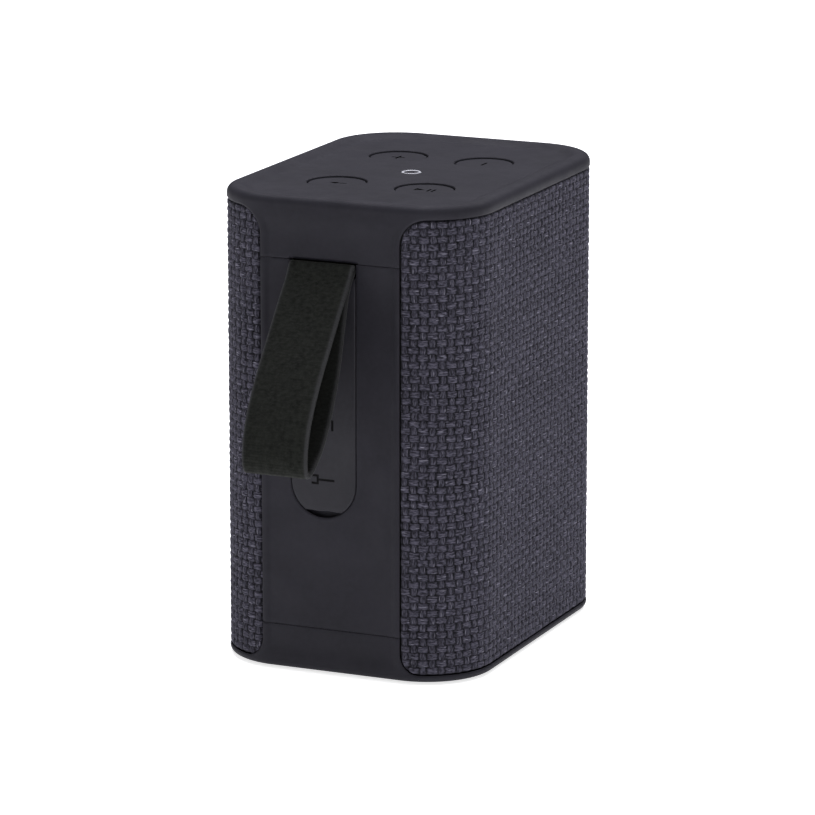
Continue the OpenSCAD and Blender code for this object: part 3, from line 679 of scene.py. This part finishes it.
def tongue(skin, up, z_edge, drops, r, steps, seam, side_step, rows, seam_rows, seam_step, dip):
    """A cap's part behind, from its band or rim past the cloth's round corners to its seam.

    up is 1 for the cap above the seam and -1 for the base below it.
    """
    join = z_edge + up * drops[-1]
    z_arc = z_edge - up * r
    left_end, right_end = EDGES[0] - r, EDGES[1] + r
    past_rim = (z_edge + up * drops)[::-1][1:]
    side_z = between(z_arc, seam, side_step)[1:]
    right = np.vstack([upright(right_end, past_rim),
                       circle(r, steps, (right_end, z_arc), 90 * up, 180 * up, ends=True)[1:],
                       upright(EDGES[1], side_z)])
    left = np.vstack([upright(left_end, past_rim),
                      circle(r, steps, (left_end, z_arc), 90 * up, 0, ends=True)[1:],
                      upright(EDGES[0], side_z)])
    s_rear, _ = around(r)
    along_seam = between(EDGES[1], EDGES[0], REAR_STEP)[1:-1]
    loop = np.vstack([level(x_of_s(s_rear), join), right, level(along_seam, seam), left[::-1]])
    inner = []
    for o in OFFSETS:
        inner.append(circle(r + o, steps, (right_end, z_arc), 92 * up, 180 * up, ends=True))
        inner.append(circle(r + o, steps, (left_end, z_arc), 88 * up, 0, ends=True))
        inner += [upright(e + side * o, side_z[:-1]) for e, side in zip(EDGES, (1, -1))]
    coarse = lattice(left_end + 0.5, right_end, 0.9, *rows, 0.7)
    inner.append(coarse[cloth_gap(coarse[:, 0], coarse[:, 1]) > BESIDE + 0.1])
    beside_seam = between(EDGES[0] + BESIDE, EDGES[1] - BESIDE, seam_step)
    inner += [level(beside_seam, seam + up * h) for h in seam_rows]
    inner = np.vstack(inner)
    clear = 0.05
    inner = inner[((inner[:, 1] - join) * up < -clear) & ((inner[:, 1] - seam) * up > clear)]

    def place(uvw):
        uvw = uvw.copy()
        uvw[:, 2] = dip(uvw[:, 0], (uvw[:, 1] - seam) * up)
        return on_rear(uvw)
    skin.area([loop], place, inner)

def cap_shell():
    """The top cap: band, shoulder, dished floor with the buttons' holes, and the tongue behind."""
    skin = Skin()
    drops = np.array([0, 0.08, 0.18, 0.35, 1.0])
    join = BAND_LOW + drops[-1]
    s_rear, s_long = around(ARC_HIGH)
    profile = [(0, join), (0, join + 0.1)]
    profile += [(d, TOP - SHOULDER + h) for d, h in rounded(SHOULDER, np.arange(10, 91, 10))]
    profile += [(DISH_START + DISH_RUN * t, TOP - DISH * (1 - math.cos(math.pi * t)) / 2)
                for t in np.linspace(0, 1, 13)]
    profile += [(FLOOR_IN, FLOOR)]
    rim = hoop(skin, s_rear, s_long, profile)
    # each hole: its centre, radius, edge rounding, the ring of points round it, and how many points
    holes = [(centre, BUTTON_R + BUTTON_GAP, 0.3, 0.5, 72) for centre in BUTTONS.values()]
    holes.append(((0, 0), RING_HOLE, 0.12, 0.3, 40))
    cuts = [circle(r + lip, n, centre)[::-1] for centre, r, _, lip, n in holes]
    skin.area([rim[::-1]] + cuts, flat, height=FLOOR)
    for centre, r, soft, lip, n in holes:
        rows = [(r + lip, FLOOR), (r + soft, FLOOR)]
        rows += [(r + soft - h, FLOOR - d) for d, h in rounded(soft, (20, 40, 60, 80, 90))]
        rows += [(r, BAND_LOW + 0.1)]
        skin.grid([level(circle(q, n, centre)[::-1], z) for q, z in rows], closed=True)
    skin.grid([on_body(s_long, BAND_LOW + h, edge_dip(h)) for h in drops])

    def dip(x, above):
        over_slot = np.abs(x - STRAP_X) < COVER_W / 2 + 0.45
        return np.where(over_slot, np.clip(EASE - above, 0, EASE), edge_dip(above, *SEAM_ROUND))
    seam = SEAM_HIGH + SEAM_GAP
    tongue(skin, 1, BAND_LOW, drops, ARC_HIGH, 26, seam, 0.5, (seam + 1.0, join - 0.3),
           (0.08, 0.2, 0.4, EASE), 0.45, dip)
    return skin.build("cap_shell", [SHELL], "housing", outwards=(0, 0, 80), thick=WALL,
                      replaces=["top_cap"])

def base_shell():
    """The base cap: rim, rounded lower edge, recess for the foot, and the low part of the spine."""
    skin = Skin()
    drops = np.array([0, 0.08, 0.18, 0.35])
    join = RIM_TOP - drops[-1]
    s_rear, s_long = around(ARC_LOW)
    profile = [(0, join)]
    profile += [(d, UNDERSIDE + BASE_ROUND - h) for d, h in rounded(BASE_ROUND, np.arange(0, 91, 11.25))]
    profile += [(FOOT_IN - 0.3, UNDERSIDE), (FOOT_IN - 0.1, UNDERSIDE + 0.05), (FOOT_IN, UNDERSIDE + 0.2),
                (FOOT_IN, FOOT_RECESS)]
    skin.area([hoop(skin, s_rear, s_long, profile)], flat, height=FOOT_RECESS)
    skin.grid([on_body(s_long, RIM_TOP - h, edge_dip(h)) for h in drops])

    def dip(x, below):
        return edge_dip(below, *SEAM_ROUND)
    tongue(skin, -1, RIM_TOP, drops, ARC_LOW, 22, SEAM_LOW, 0.4, (join + 0.4, SEAM_LOW - 0.6),
           (0.08, 0.2, 0.5), 0.9, dip)
    return skin.build("base_shell", [SHELL], "housing", outwards=(0, 0, 60), thick=WALL,
                      replaces=["base_cap"])

def slot_distance(x, z):
    """Distance from the edge of the port cover's slot, outwards."""
    return np.where(z > SLOT_Z, np.abs(x - STRAP_X) - SLOT_R, np.hypot(x - STRAP_X, z - SLOT_Z) - SLOT_R)

def spine_panel_skin(skin):
    """The panel between the seams, round the slot."""
    low, high = SEAM_LOW + SEAM_GAP, SEAM_HIGH
    zs = between(low, high, 1.0)
    slot_z = between(high, SLOT_Z, 1.0)
    slot_sides = (STRAP_X - SLOT_R, STRAP_X + SLOT_R)
    loop = np.vstack([
        level(between(*EDGES, 0.8), low),
        upright(EDGES[1], zs[1:]),
        level(between(EDGES[1], slot_sides[1], 0.8)[1:], high),
        upright(slot_sides[1], slot_z[1:]),
        circle(SLOT_R, 48, (STRAP_X, SLOT_Z), 0, -180, ends=True)[1:],
        upright(slot_sides[0], slot_z[::-1][1:]),
        level(between(slot_sides[0], EDGES[0], 0.8)[1:], high),
        upright(EDGES[0], zs[::-1][1:-1]),
    ])
    inner = [upright(e + side * o, zs[1:-1]) for o in OFFSETS for e, side in zip(EDGES, (1, -1))]
    for o in (0.06, 0.14, 0.25, 0.6):
        inner.append(circle(SLOT_R + o, 48, (STRAP_X, SLOT_Z), 0, -180, ends=True))
        inner += [upright(STRAP_X + side * (SLOT_R + o), slot_z[1:-1]) for side in (-1, 1)]
    beside_seam = between(EDGES[0] + BESIDE, EDGES[1] - BESIDE, 0.9)
    inner += [level(beside_seam, z) for h in (0.08, 0.2, 0.5) for z in (low + h, high - h)]
    coarse = lattice(EDGES[0] + BESIDE + 0.4, EDGES[1] - BESIDE, 1.1, low + 1.1, high - 0.8, 1.3)
    inner.append(coarse[slot_distance(coarse[:, 0], coarse[:, 1]) > 1.0])
    inner = np.vstack(inner)
    inner = inner[slot_distance(inner[:, 0], inner[:, 1]) > 0.03]

    def place(uvw):
        uvw = uvw.copy()
        x, z = uvw[:, 0], uvw[:, 1]
        by_seams = edge_dip(z - low, *SEAM_ROUND) + edge_dip(high - z, *SEAM_ROUND)
        uvw[:, 2] = np.maximum(by_seams, edge_dip(slot_distance(x, z), 0.25, 0.16))
        return on_rear(uvw)
    skin.area([loop], place, inner)

def spine_shell():
    """The spine panel with the port cover's slot, and the seat behind the cover with the sockets' holes."""
    skin = Skin()
    spine_panel_skin(skin)
    far_out = SLOT_R + 0.6
    seat_top = 88.55
    seat = np.vstack([circle(far_out, 40, (STRAP_X, SLOT_Z), 180, 360, ends=True),
                      [[STRAP_X + far_out, seat_top], [STRAP_X - far_out, seat_top]]])
    usb = rect(9.3, 3.6, 1.0, (STRAP_X, USB_Z))
    aux = circle(3.5, 40, (STRAP_X, AUX_Z))

    def on_seat(uvw):
        return np.column_stack([uvw[:, 0], SEAT_Y + uvw[:, 2], uvw[:, 1]])
    skin.area([seat, usb, aux], on_seat)
    return skin.build("spine_shell", [SHELL], "housing", outwards=(0, 0, 55), thick=PANEL_WALL,
                      replaces=["spine_panel"])

# ---- port cover
def cover_outline():
    """The flap's outline as it is looked at, anticlockwise: round below, with a wavy notch cut off."""
    r = COVER_W / 2
    half = math.degrees(math.asin((SLOT_Z - COVER_CUT) / r))
    right = circle(r, 22, (0, SLOT_Z), -half, 0, ends=True)
    left = circle(r, 22, (0, SLOT_Z), 180, 180 + half, ends=True)
    xs = np.linspace(left[-1, 0], right[0, 0], 25)[1:-1]
    turn = xs / 4.25 * math.pi / 2
    notch = np.column_stack([xs, COVER_CUT + 0.1 * np.sin(3 * turn) * np.cos(turn)])
    side_z = between(SLOT_Z, COVER_TOP, 1.5)[1:]
    top = level(between(r, -r, 1.5)[1:-1], COVER_TOP)
    return np.vstack([notch, right, upright(r, side_z), top, upright(-r, side_z[::-1]), left])

def cover_marks():
    """A plug by the charging socket and two bars by the round one."""
    half = np.array([(-2.6, -0.25), (1.1, -0.25), (1.1, -1.1), (2.8, -1.1), (2.8, -0.6), (1.6, -0.6)])
    plug = np.vstack([half, half[::-1] * (1, -1)])
    bars = [rect(0.5, h, 0, (x, AUX_Z)) for x, h in ((2.15, 2.4), (0.75, 1.4))]
    return [(plug * (-1, 1) + (0, USB_Z))[::-1]] + bars

def on_cover(uvw):
    """Places (u, v, w): u to the right as it is looked at, v the height, w outwards.

    The top edge slopes back where the strap swings past.
    """
    u, v, w = uvw.T
    back = np.clip(v - (COVER_TOP - EASE), 0, EASE)
    return np.column_stack([STRAP_X - u, PANEL_Y + w - back, v])

def behind_cover(uvw):
    """Places (x from the cover's middle, z, depth behind the cover)."""
    return np.column_stack([STRAP_X + uvw[:, 0], PANEL_Y - COVER_T - uvw[:, 2], uvw[:, 1]])

def port_cover():
    """The soft cover: a rounded flap with sunk marks, and the charging socket's stopper behind it."""
    skin = Skin()
    loops, heights = soft_edge(cover_outline(), 0.28, -COVER_T, 0.0)
    skin.loft(loops, heights, on_cover, cap_low=True)
    grid = lattice(-6.6, 6.7, 1.2, 38, COVER_TOP - 0.7, 1.2)
    grid = grid[inside(grid, inset(loops[-1], 0.4))]
    skin.area([loops[-1]], on_cover, inner=grid, marks=cover_marks(), sink=COVER_SINK, mark_shade_mat=1)
    stopper = rect(7.6, 2.0, 0.6, (0, USB_Z))
    skin.loft(*soft_edge(stopper, 0.25, 0, 1.3), behind_cover, cap_high=True)
    return skin.build("port_cover_flap", [COVER, MARK_SHADE], "port_cover", replaces=["port_cover"])

# ---- buttons and light ring
def button(name, marks):
    """A round button with its flange and plunger below, and its marks sunk in the top."""
    skin = Skin()
    n = 96
    node = f"button_{name}"

    def place(uvw):
        return uvw + (*BUTTONS[name], 0)
    rim = circle(BUTTON_R, n)
    plunger, flange = circle(2, n), circle(BUTTON_R + FLANGE, n)
    loops, heights = soft_edge(rim, BUTTON_ROUND, 102.1, BUTTON_TOP)
    below = [plunger, plunger, flange, flange, rim]
    skin.loft(below + loops, [100.6, 101.2, 101.2, 102.05, 102.05] + heights, place, cap_low=True)
    middle = circle(BUTTON_R - BUTTON_ROUND - 0.25, n)
    skin.loft([loops[-1], middle], [BUTTON_TOP, BUTTON_TOP], place)
    skin.area([middle], place, height=BUTTON_TOP, marks=marks, sink=BUTTON_SINK, mark_shade_mat=1)
    return skin.build(f"{node}_top", [BUTTON, MARK_SHADE], node, sharp=30, replaces=[node])

def make_buttons():
    arm = np.array([(1, 1), (1, 6), (-1, 6)]) * 0.27
    quarter_turn = np.array([(0, 1), (-1, 0)])
    cross = np.vstack([arm @ np.linalg.matrix_power(quarter_turn, k) for k in range(4)])
    triangle = np.array([(-0.1, 0), (2.3, -1.2), (2.3, 1.2)])
    arrow = np.array([(1.8, 0), (0, 0.9), (0, 0.25), (-2.3, 0.25), (-2.3, -0.25), (0, -0.25), (0, -0.9)])
    button("plus", [cross])
    button("minus", [rect(0.54, 3.2)])
    button("play", [triangle] + [rect(0.5, 2.6, 0, (x, 0)) for x in (-1.0, -2.1)])
    button("power", [arrow])

def light_ring():
    """The lit ring with its rounded top, round a plain middle with the microphone's fine hole."""
    skin = Skin()
    low, side, inner_r = 101.6, 103.95, 1.74
    mid_r, half_w = (RING_R + inner_r) / 2, (RING_R - inner_r) / 2
    ring = [(RING_R, low), (RING_R, side)]
    ring += [(mid_r + half_w * math.cos(a), side + 0.18 * math.sin(a))
             for a in np.radians(np.arange(20, 180, 20))]
    ring += [(inner_r, side + 0.03)]
    middle = [ring[-1], (1.6, side + 0.1), (0.12, side + 0.1), (0.1, side + 0.07), (0.1, low), (RING_R, low)]
    for mat, profile in enumerate((ring, middle)):
        skin.grid([level(circle(r, 64), z) for r, z in profile], closed=True, mat=mat)
    return skin.build("lit_ring", [GLOW, SHELL], "housing", replaces=["light_ring"])

# ---- cloth
CLOTH_START = float(s_of_x(EDGES[1] + CLOTH_GAP))
CLOTH_END = GIRTH + float(s_of_x(EDGES[0] - CLOTH_GAP))
N_WARP = int(round((CLOTH_END - CLOTH_START) / WARP_PITCH))
N_WEFT = int(round((CLOTH_HIGH - CLOTH_LOW) / WEFT_PITCH))
CLOTH_ARCS = (ARC_HIGH - CLOTH_GAP, ARC_LOW - CLOTH_GAP)

def wander(a, b, seed, size):
    """A slow, uneven drift."""
    r = np.random.default_rng(seed)
    t = np.zeros_like(a)
    for _ in range(5):
        fa, fb, p = r.uniform(0.1, 0.9), r.uniform(0.1, 0.9), r.uniform(0, 6.28)
        t += np.sin(a * fa + b * fb + p)
    return t * size / 2.2

def weave(u, v):
    """Height in mm and tone of the cloth where it is u threads along and v threads up."""
    iu, iv = np.floor(u).astype(int), np.floor(v).astype(int)
    fu, fv = u - iu - 0.5, v - iv - 0.5
    over = np.where((iu + iv) % 2 == 0, 1.0, -1.0)    # 1 where the weft is on top
    weft = WAVE * over * np.cos(math.pi * fu) + BULGE * np.sqrt(np.clip(1 - np.abs(fv / WEFT_R) ** 3, 0, 1))
    warp = -WAVE * over * np.cos(math.pi * fv) + BULGE * np.sqrt(np.clip(1 - np.abs(fu / WARP_R) ** 3, 0, 1))
    cell = (np.clip(iv, 0, N_WEFT), np.clip(iu, 0, N_WARP))
    cells = (N_WEFT + 1, N_WARP + 1)
    weft = weft + RNG.normal(0, 0.028, cells)[cell]
    slub = 0.02 * np.sin(u * 3.1 + v * 9.7) * np.sin(u * 11.3 - v * 5.1)
    height = np.maximum(weft, warp) - 0.1 + slub
    tint = RNG.random(cells)
    warp_tone, weft_tone = RNG.random(cells[1]), RNG.random(cells[0])
    of_thread = np.where(weft > warp, weft_tone[cell[0]], warp_tone[cell[1]])
    return height, 0.3 * tint[cell] + 0.55 * of_thread

def cloth_wrap():
    """The speaker cloth: one sheet round the body, its threads raised over and under each other."""
    s = np.linspace(CLOTH_START, CLOTH_END, N_WARP * PER_THREAD + 1)
    z = np.linspace(CLOTH_LOW, CLOTH_HIGH, N_WEFT * PER_THREAD + 1)
    # the rear corners are rounded: each column stops on the arc
    x_edge = np.minimum(s - CLOTH_START, CLOTH_END - s)
    cut_high, cut_low = (r - np.sqrt(np.clip(r ** 2 - np.clip(r - x_edge, 0, None) ** 2, 0, None))
                         for r in CLOTH_ARCS)
    hi, lo = CLOTH_HIGH - cut_high, CLOTH_LOW + cut_low
    S, Z0 = np.meshgrid(s, z)
    Z = np.clip(Z0, lo[None, :], hi[None, :])
    # threads wander a little
    u = (S - CLOTH_START) / (CLOTH_END - CLOTH_START) * N_WARP
    v = (Z0 - CLOTH_LOW) / (CLOTH_HIGH - CLOTH_LOW) * N_WEFT
    u = u + wander(v * 0.8, u * 0.25, 1, 0.07)
    v = v + wander(u * 0.8, v * 0.25, 2, 0.07)
    h, tone = weave(u, v)
    # at its edges the cloth turns in behind the plastic
    edge = np.minimum(np.minimum(x_edge[None, :], Z - CLOTH_LOW), CLOTH_HIGH - Z)
    for r, from_end in zip(CLOTH_ARCS, (CLOTH_HIGH - Z, Z - CLOTH_LOW)):
        corner = (x_edge[None, :] < r) & (from_end < r)
        edge = np.where(corner, r - np.hypot(r - x_edge[None, :], r - from_end), edge)
    turned_in = 0.25 * (1 - smooth(np.clip(edge, 0, None) / 0.35))
    depth = np.clip(0.62 - h + turned_in, 0.02, 1.38)
    p, n = outline(s)
    front = np.concatenate([p[None] - n[None] * depth[:, :, None], Z[:, :, None]], 2)

    skin = Skin()
    rows, cols = Z.shape
    first = skin.add(front)
    i, j = np.arange(rows - 1)[:, None] * cols, np.arange(cols - 1)[None, :]
    quads = np.stack([i + j, i + j + 1, i + cols + j + 1, i + cols + j], -1).reshape(-1, 4)
    tall = Z[1:] - Z[:-1]
    keep = ((tall[:, :-1] + tall[:, 1:]) > 1e-5).ravel()
    skin.faces((quads[keep] + first).tolist())
    # the back and the rims
    back = p - n * 1.48
    b0 = skin.add(np.column_stack([back, lo]))
    b1 = skin.add(np.column_stack([back, hi]))
    j = np.arange(cols - 1)
    last = (rows - 1) * cols
    for a, b, c, d in ((b0 + 1, b0, b1, b1 + 1), (0, b0, b0 + 1, 1), (last + 1, b1 + 1, b1, last)):
        skin.faces(np.stack([a + j, b + j, c + j, d + j], 1).tolist())
    for end in (0, cols - 1):
        skin.faces([tuple([r * cols + end for r in range(rows)] + [b1 + end, b0 + end])])

    # the height goes to the material, which paints shade into the weave's hollows with it
    h01 = (h - h.min()) / (h.max() - h.min())
    info = np.stack([h01, tone, np.zeros_like(h), np.ones_like(h)], -1).reshape(-1, 4)
    info = np.vstack([info, np.tile([0.0, 0.5, 0, 1], (2 * cols, 1))])
    place = np.vstack([np.stack([S, Z0], -1).reshape(-1, 2), np.stack([s, lo], 1), np.stack([s, hi], 1)]) * MM
    cell = np.vstack([np.stack([u, v], -1).reshape(-1, 2), np.full((2 * cols, 2), 0.5)])
    obj = skin.build("cloth_wrap", [CLOTH], "housing", sharp=75, replaces=["fabric_wrap"],
                     data=lambda mesh: mark_points(mesh, "weave_info", info, weave=place, cells=cell))
    return obj

# ---- strap
# the band's middle line from the hinge, (out, up): down the outer strand, round the fold and back up
STRAP_LINE = [(2.2, -2.3), (4.4, -4.85), (6.8, -7.6), (11.9, -13.9), (16.7, -19.8), (21.1, -26.4),
              (23.4, -31.4), (24.3, -36.4), (23.7, -39.2), (21.9, -39.5), (19.0, -37.6), (16.1, -35.1),
              (12.5, -30.2), (9.3, -24.1), (6.9, -18.1), (5.0, -11.5), (3.2, -5.7), (1.5, -2.4)]
STRAP_ROUND = 0.3    # rounding of the band's long edges

def strap_section():
    """The band's section: across its width, and through its thickness."""
    half, t = STRAP_W / 2 - STRAP_ROUND, STRAP_T / 2
    across = between(-half, half, 0.36)
    a = np.radians(np.arange(0, 181, 22.5))
    edge = np.column_stack([half + STRAP_ROUND * np.sin(a), t * np.cos(a)])[1:-1]
    return np.vstack([level(across, t), edge, level(across[::-1], -t), -edge])

def strap_band():
    """The strap loop: one flat band from the slot, out and down, round its fold and back."""
    round_pin = circle(STRAP_T / 2, 8, (0, 0), 240, 20, ends=True)
    line, run = catmull(np.vstack([round_pin, STRAP_LINE, round_pin[:1]]), 0.3)
    line, run = line[:-1], run[:-1]
    tangent = np.roll(line, -1, 0) - np.roll(line, 1, 0)
    tangent /= np.linalg.norm(tangent, axis=1)[:, None]
    normal = np.stack([-tangent[:, 1], tangent[:, 0]], 1)
    section = strap_section()
    across, through = section.T
    n, m = len(line), len(section)
    # the faces are slightly uneven
    rough = np.random.default_rng(5).normal(0, 1, (n, m))
    beside = np.roll(rough, 1, 1)
    rough = (rough + np.roll(rough, 1, 0) + beside + np.roll(beside, 1, 0)) / 2
    t = STRAP_T / 2
    on_face = (np.abs(through) > t * 0.9) * np.sign(through)
    off = through[None, :] + 0.018 * rough * on_face[None, :]
    off = np.sign(off) * np.minimum(np.abs(off), t + 0.02)
    y = HINGE_Y + line[:, 0][:, None] + normal[:, 0][:, None] * off
    z = HINGE_Z + line[:, 1][:, None] + normal[:, 1][:, None] * off
    x = np.broadcast_to(STRAP_X + across[None, :], y.shape)
    skin = Skin()
    skin.grid(np.stack([x, y, z], -1), closed=True)
    last = (n - 1) * m
    skin.faces([(last + k, last + (k + 1) % m, (k + 1) % m, k) for k in range(m)])

    from_middle = np.abs(across) - STRAP_W / 2
    side = (from_middle > -STRAP_ROUND - 0.01).astype(float)
    edge = np.maximum(side, 0.5 * smooth((from_middle + 0.9) / 0.6))
    # inner marks the loop's inner face, which the webbing darkens as painted shade
    inner = (through < 0).astype(float)
    info = np.zeros((n, m, 4))
    info[:, :, 0], info[:, :, 1], info[:, :, 3] = edge, inner, 1
    uv = np.stack(np.broadcast_arrays((across + 30 * inner)[None, :], run[:, None]), -1) * MM
    obj = skin.build("strap_band", [WEBBING], "strap", sharp=80, replaces=["strap"],
                     data=lambda mesh: mark_points(mesh, "band_info", info, band=uv.reshape(-1, 2)))
    return obj

cap_shell()
base_shell()
spine_shell()
port_cover()
make_buttons()
light_ring()
cloth_wrap()
strap_band()

# ---- floor, light and camera
HALF_FLOOR = 3.0
FLOOR_Z = -0.00005    # a hair below the foot, so that the two faces don't coincide

def make_floor():
    mesh = bpy.data.meshes.new("floor")
    corners = [(x * HALF_FLOOR, y * HALF_FLOOR, FLOOR_Z) for x, y in ((-1, -1), (1, -1), (1, 1), (-1, 1))]
    mesh.from_pydata(corners, [], [(0, 1, 2, 3)])
    obj = bpy.data.objects.new("floor", mesh)
    bpy.context.scene.collection.objects.link(obj)
    paper = Look("paper")
    color = paper.mix(paper.noise(30, 2), (0.88, 0.88, 0.89), (0.92, 0.92, 0.92))
    mesh.materials.append(paper.set(color=color, rough=0.9, spec=0.1, emit=(1.0, 1.0, 1.0),
                                    emit_strength=0.72))

def make_world():
    """Dim white surroundings that look plain white past the floor."""
    world = bpy.data.worlds.new("studio")
    bpy.context.scene.world = world
    world.use_nodes = True
    tree = world.node_tree
    surroundings = tree.nodes["Background"]
    surroundings.inputs["Strength"].default_value = 0.15
    backdrop = tree.nodes.new("ShaderNodeBackground")
    rays = tree.nodes.new("ShaderNodeLightPath")
    both = tree.nodes.new("ShaderNodeMixShader")
    for shade in (surroundings, backdrop):
        shade.inputs["Color"].default_value = (1.0, 1.0, 1.0, 1)
    tree.links.new(rays.outputs["Is Camera Ray"], both.inputs[0])
    tree.links.new(surroundings.outputs[0], both.inputs[1])
    tree.links.new(backdrop.outputs[0], both.inputs[2])
    tree.links.new(both.outputs[0], tree.nodes["World Output"].inputs["Surface"])

def area_light(name, at, aim, size, power, color):
    data = bpy.data.lights.new(name, "AREA")
    data.shape = "RECTANGLE"
    data.size, data.size_y = size
    data.energy = power
    data.color = color
    obj = bpy.data.objects.new(name, data)
    bpy.context.scene.collection.objects.link(obj)
    obj.location = at
    obj.rotation_mode = "QUATERNION"
    obj.rotation_quaternion = (Vector(aim) - Vector(at)).to_track_quat("-Z", "Y")

def make_camera(azimuth, elevation, distance, target):
    """The photograph's view; the azimuth is measured from the rear."""
    az, el = math.radians(azimuth), math.radians(elevation)
    back = Vector((-math.sin(az) * math.cos(el), math.cos(az) * math.cos(el), math.sin(el)))
    camera = bpy.data.cameras.new("camera")
    camera.lens = 215.3
    camera.sensor_width = 36
    camera.shift_x, camera.shift_y = -0.0047, -0.0094
    camera.clip_start, camera.clip_end = 0.05, 20
    obj = bpy.data.objects.new("camera", camera)
    bpy.context.scene.collection.objects.link(obj)
    obj.location = Vector(target) + back * distance
    obj.rotation_mode = "QUATERNION"
    obj.rotation_quaternion = (-back).to_track_quat("-Z", "Y")
    bpy.context.scene.camera = obj

make_floor()
make_world()
area_light("overhead", (0.0, -0.3, 1.1), (0, 0, 0), (1.2, 1.2), 20, (0.93, 0.92, 1.0))
area_light("left_box", (-1.1, 0.5, 0.55), (0, 0, 0.05), (0.8, 0.9), 2.0, (1.0, 1.0, 0.95))
area_light("right_box", (1.0, 0.6, 0.5), (0, 0, 0.05), (0.8, 0.9), 1.8, (1.0, 1.0, 0.95))
make_camera(23.62, 13.37, 1.0847, (0, 0, 0.0525))
bpy.context.scene.view_settings.view_transform = "Standard"
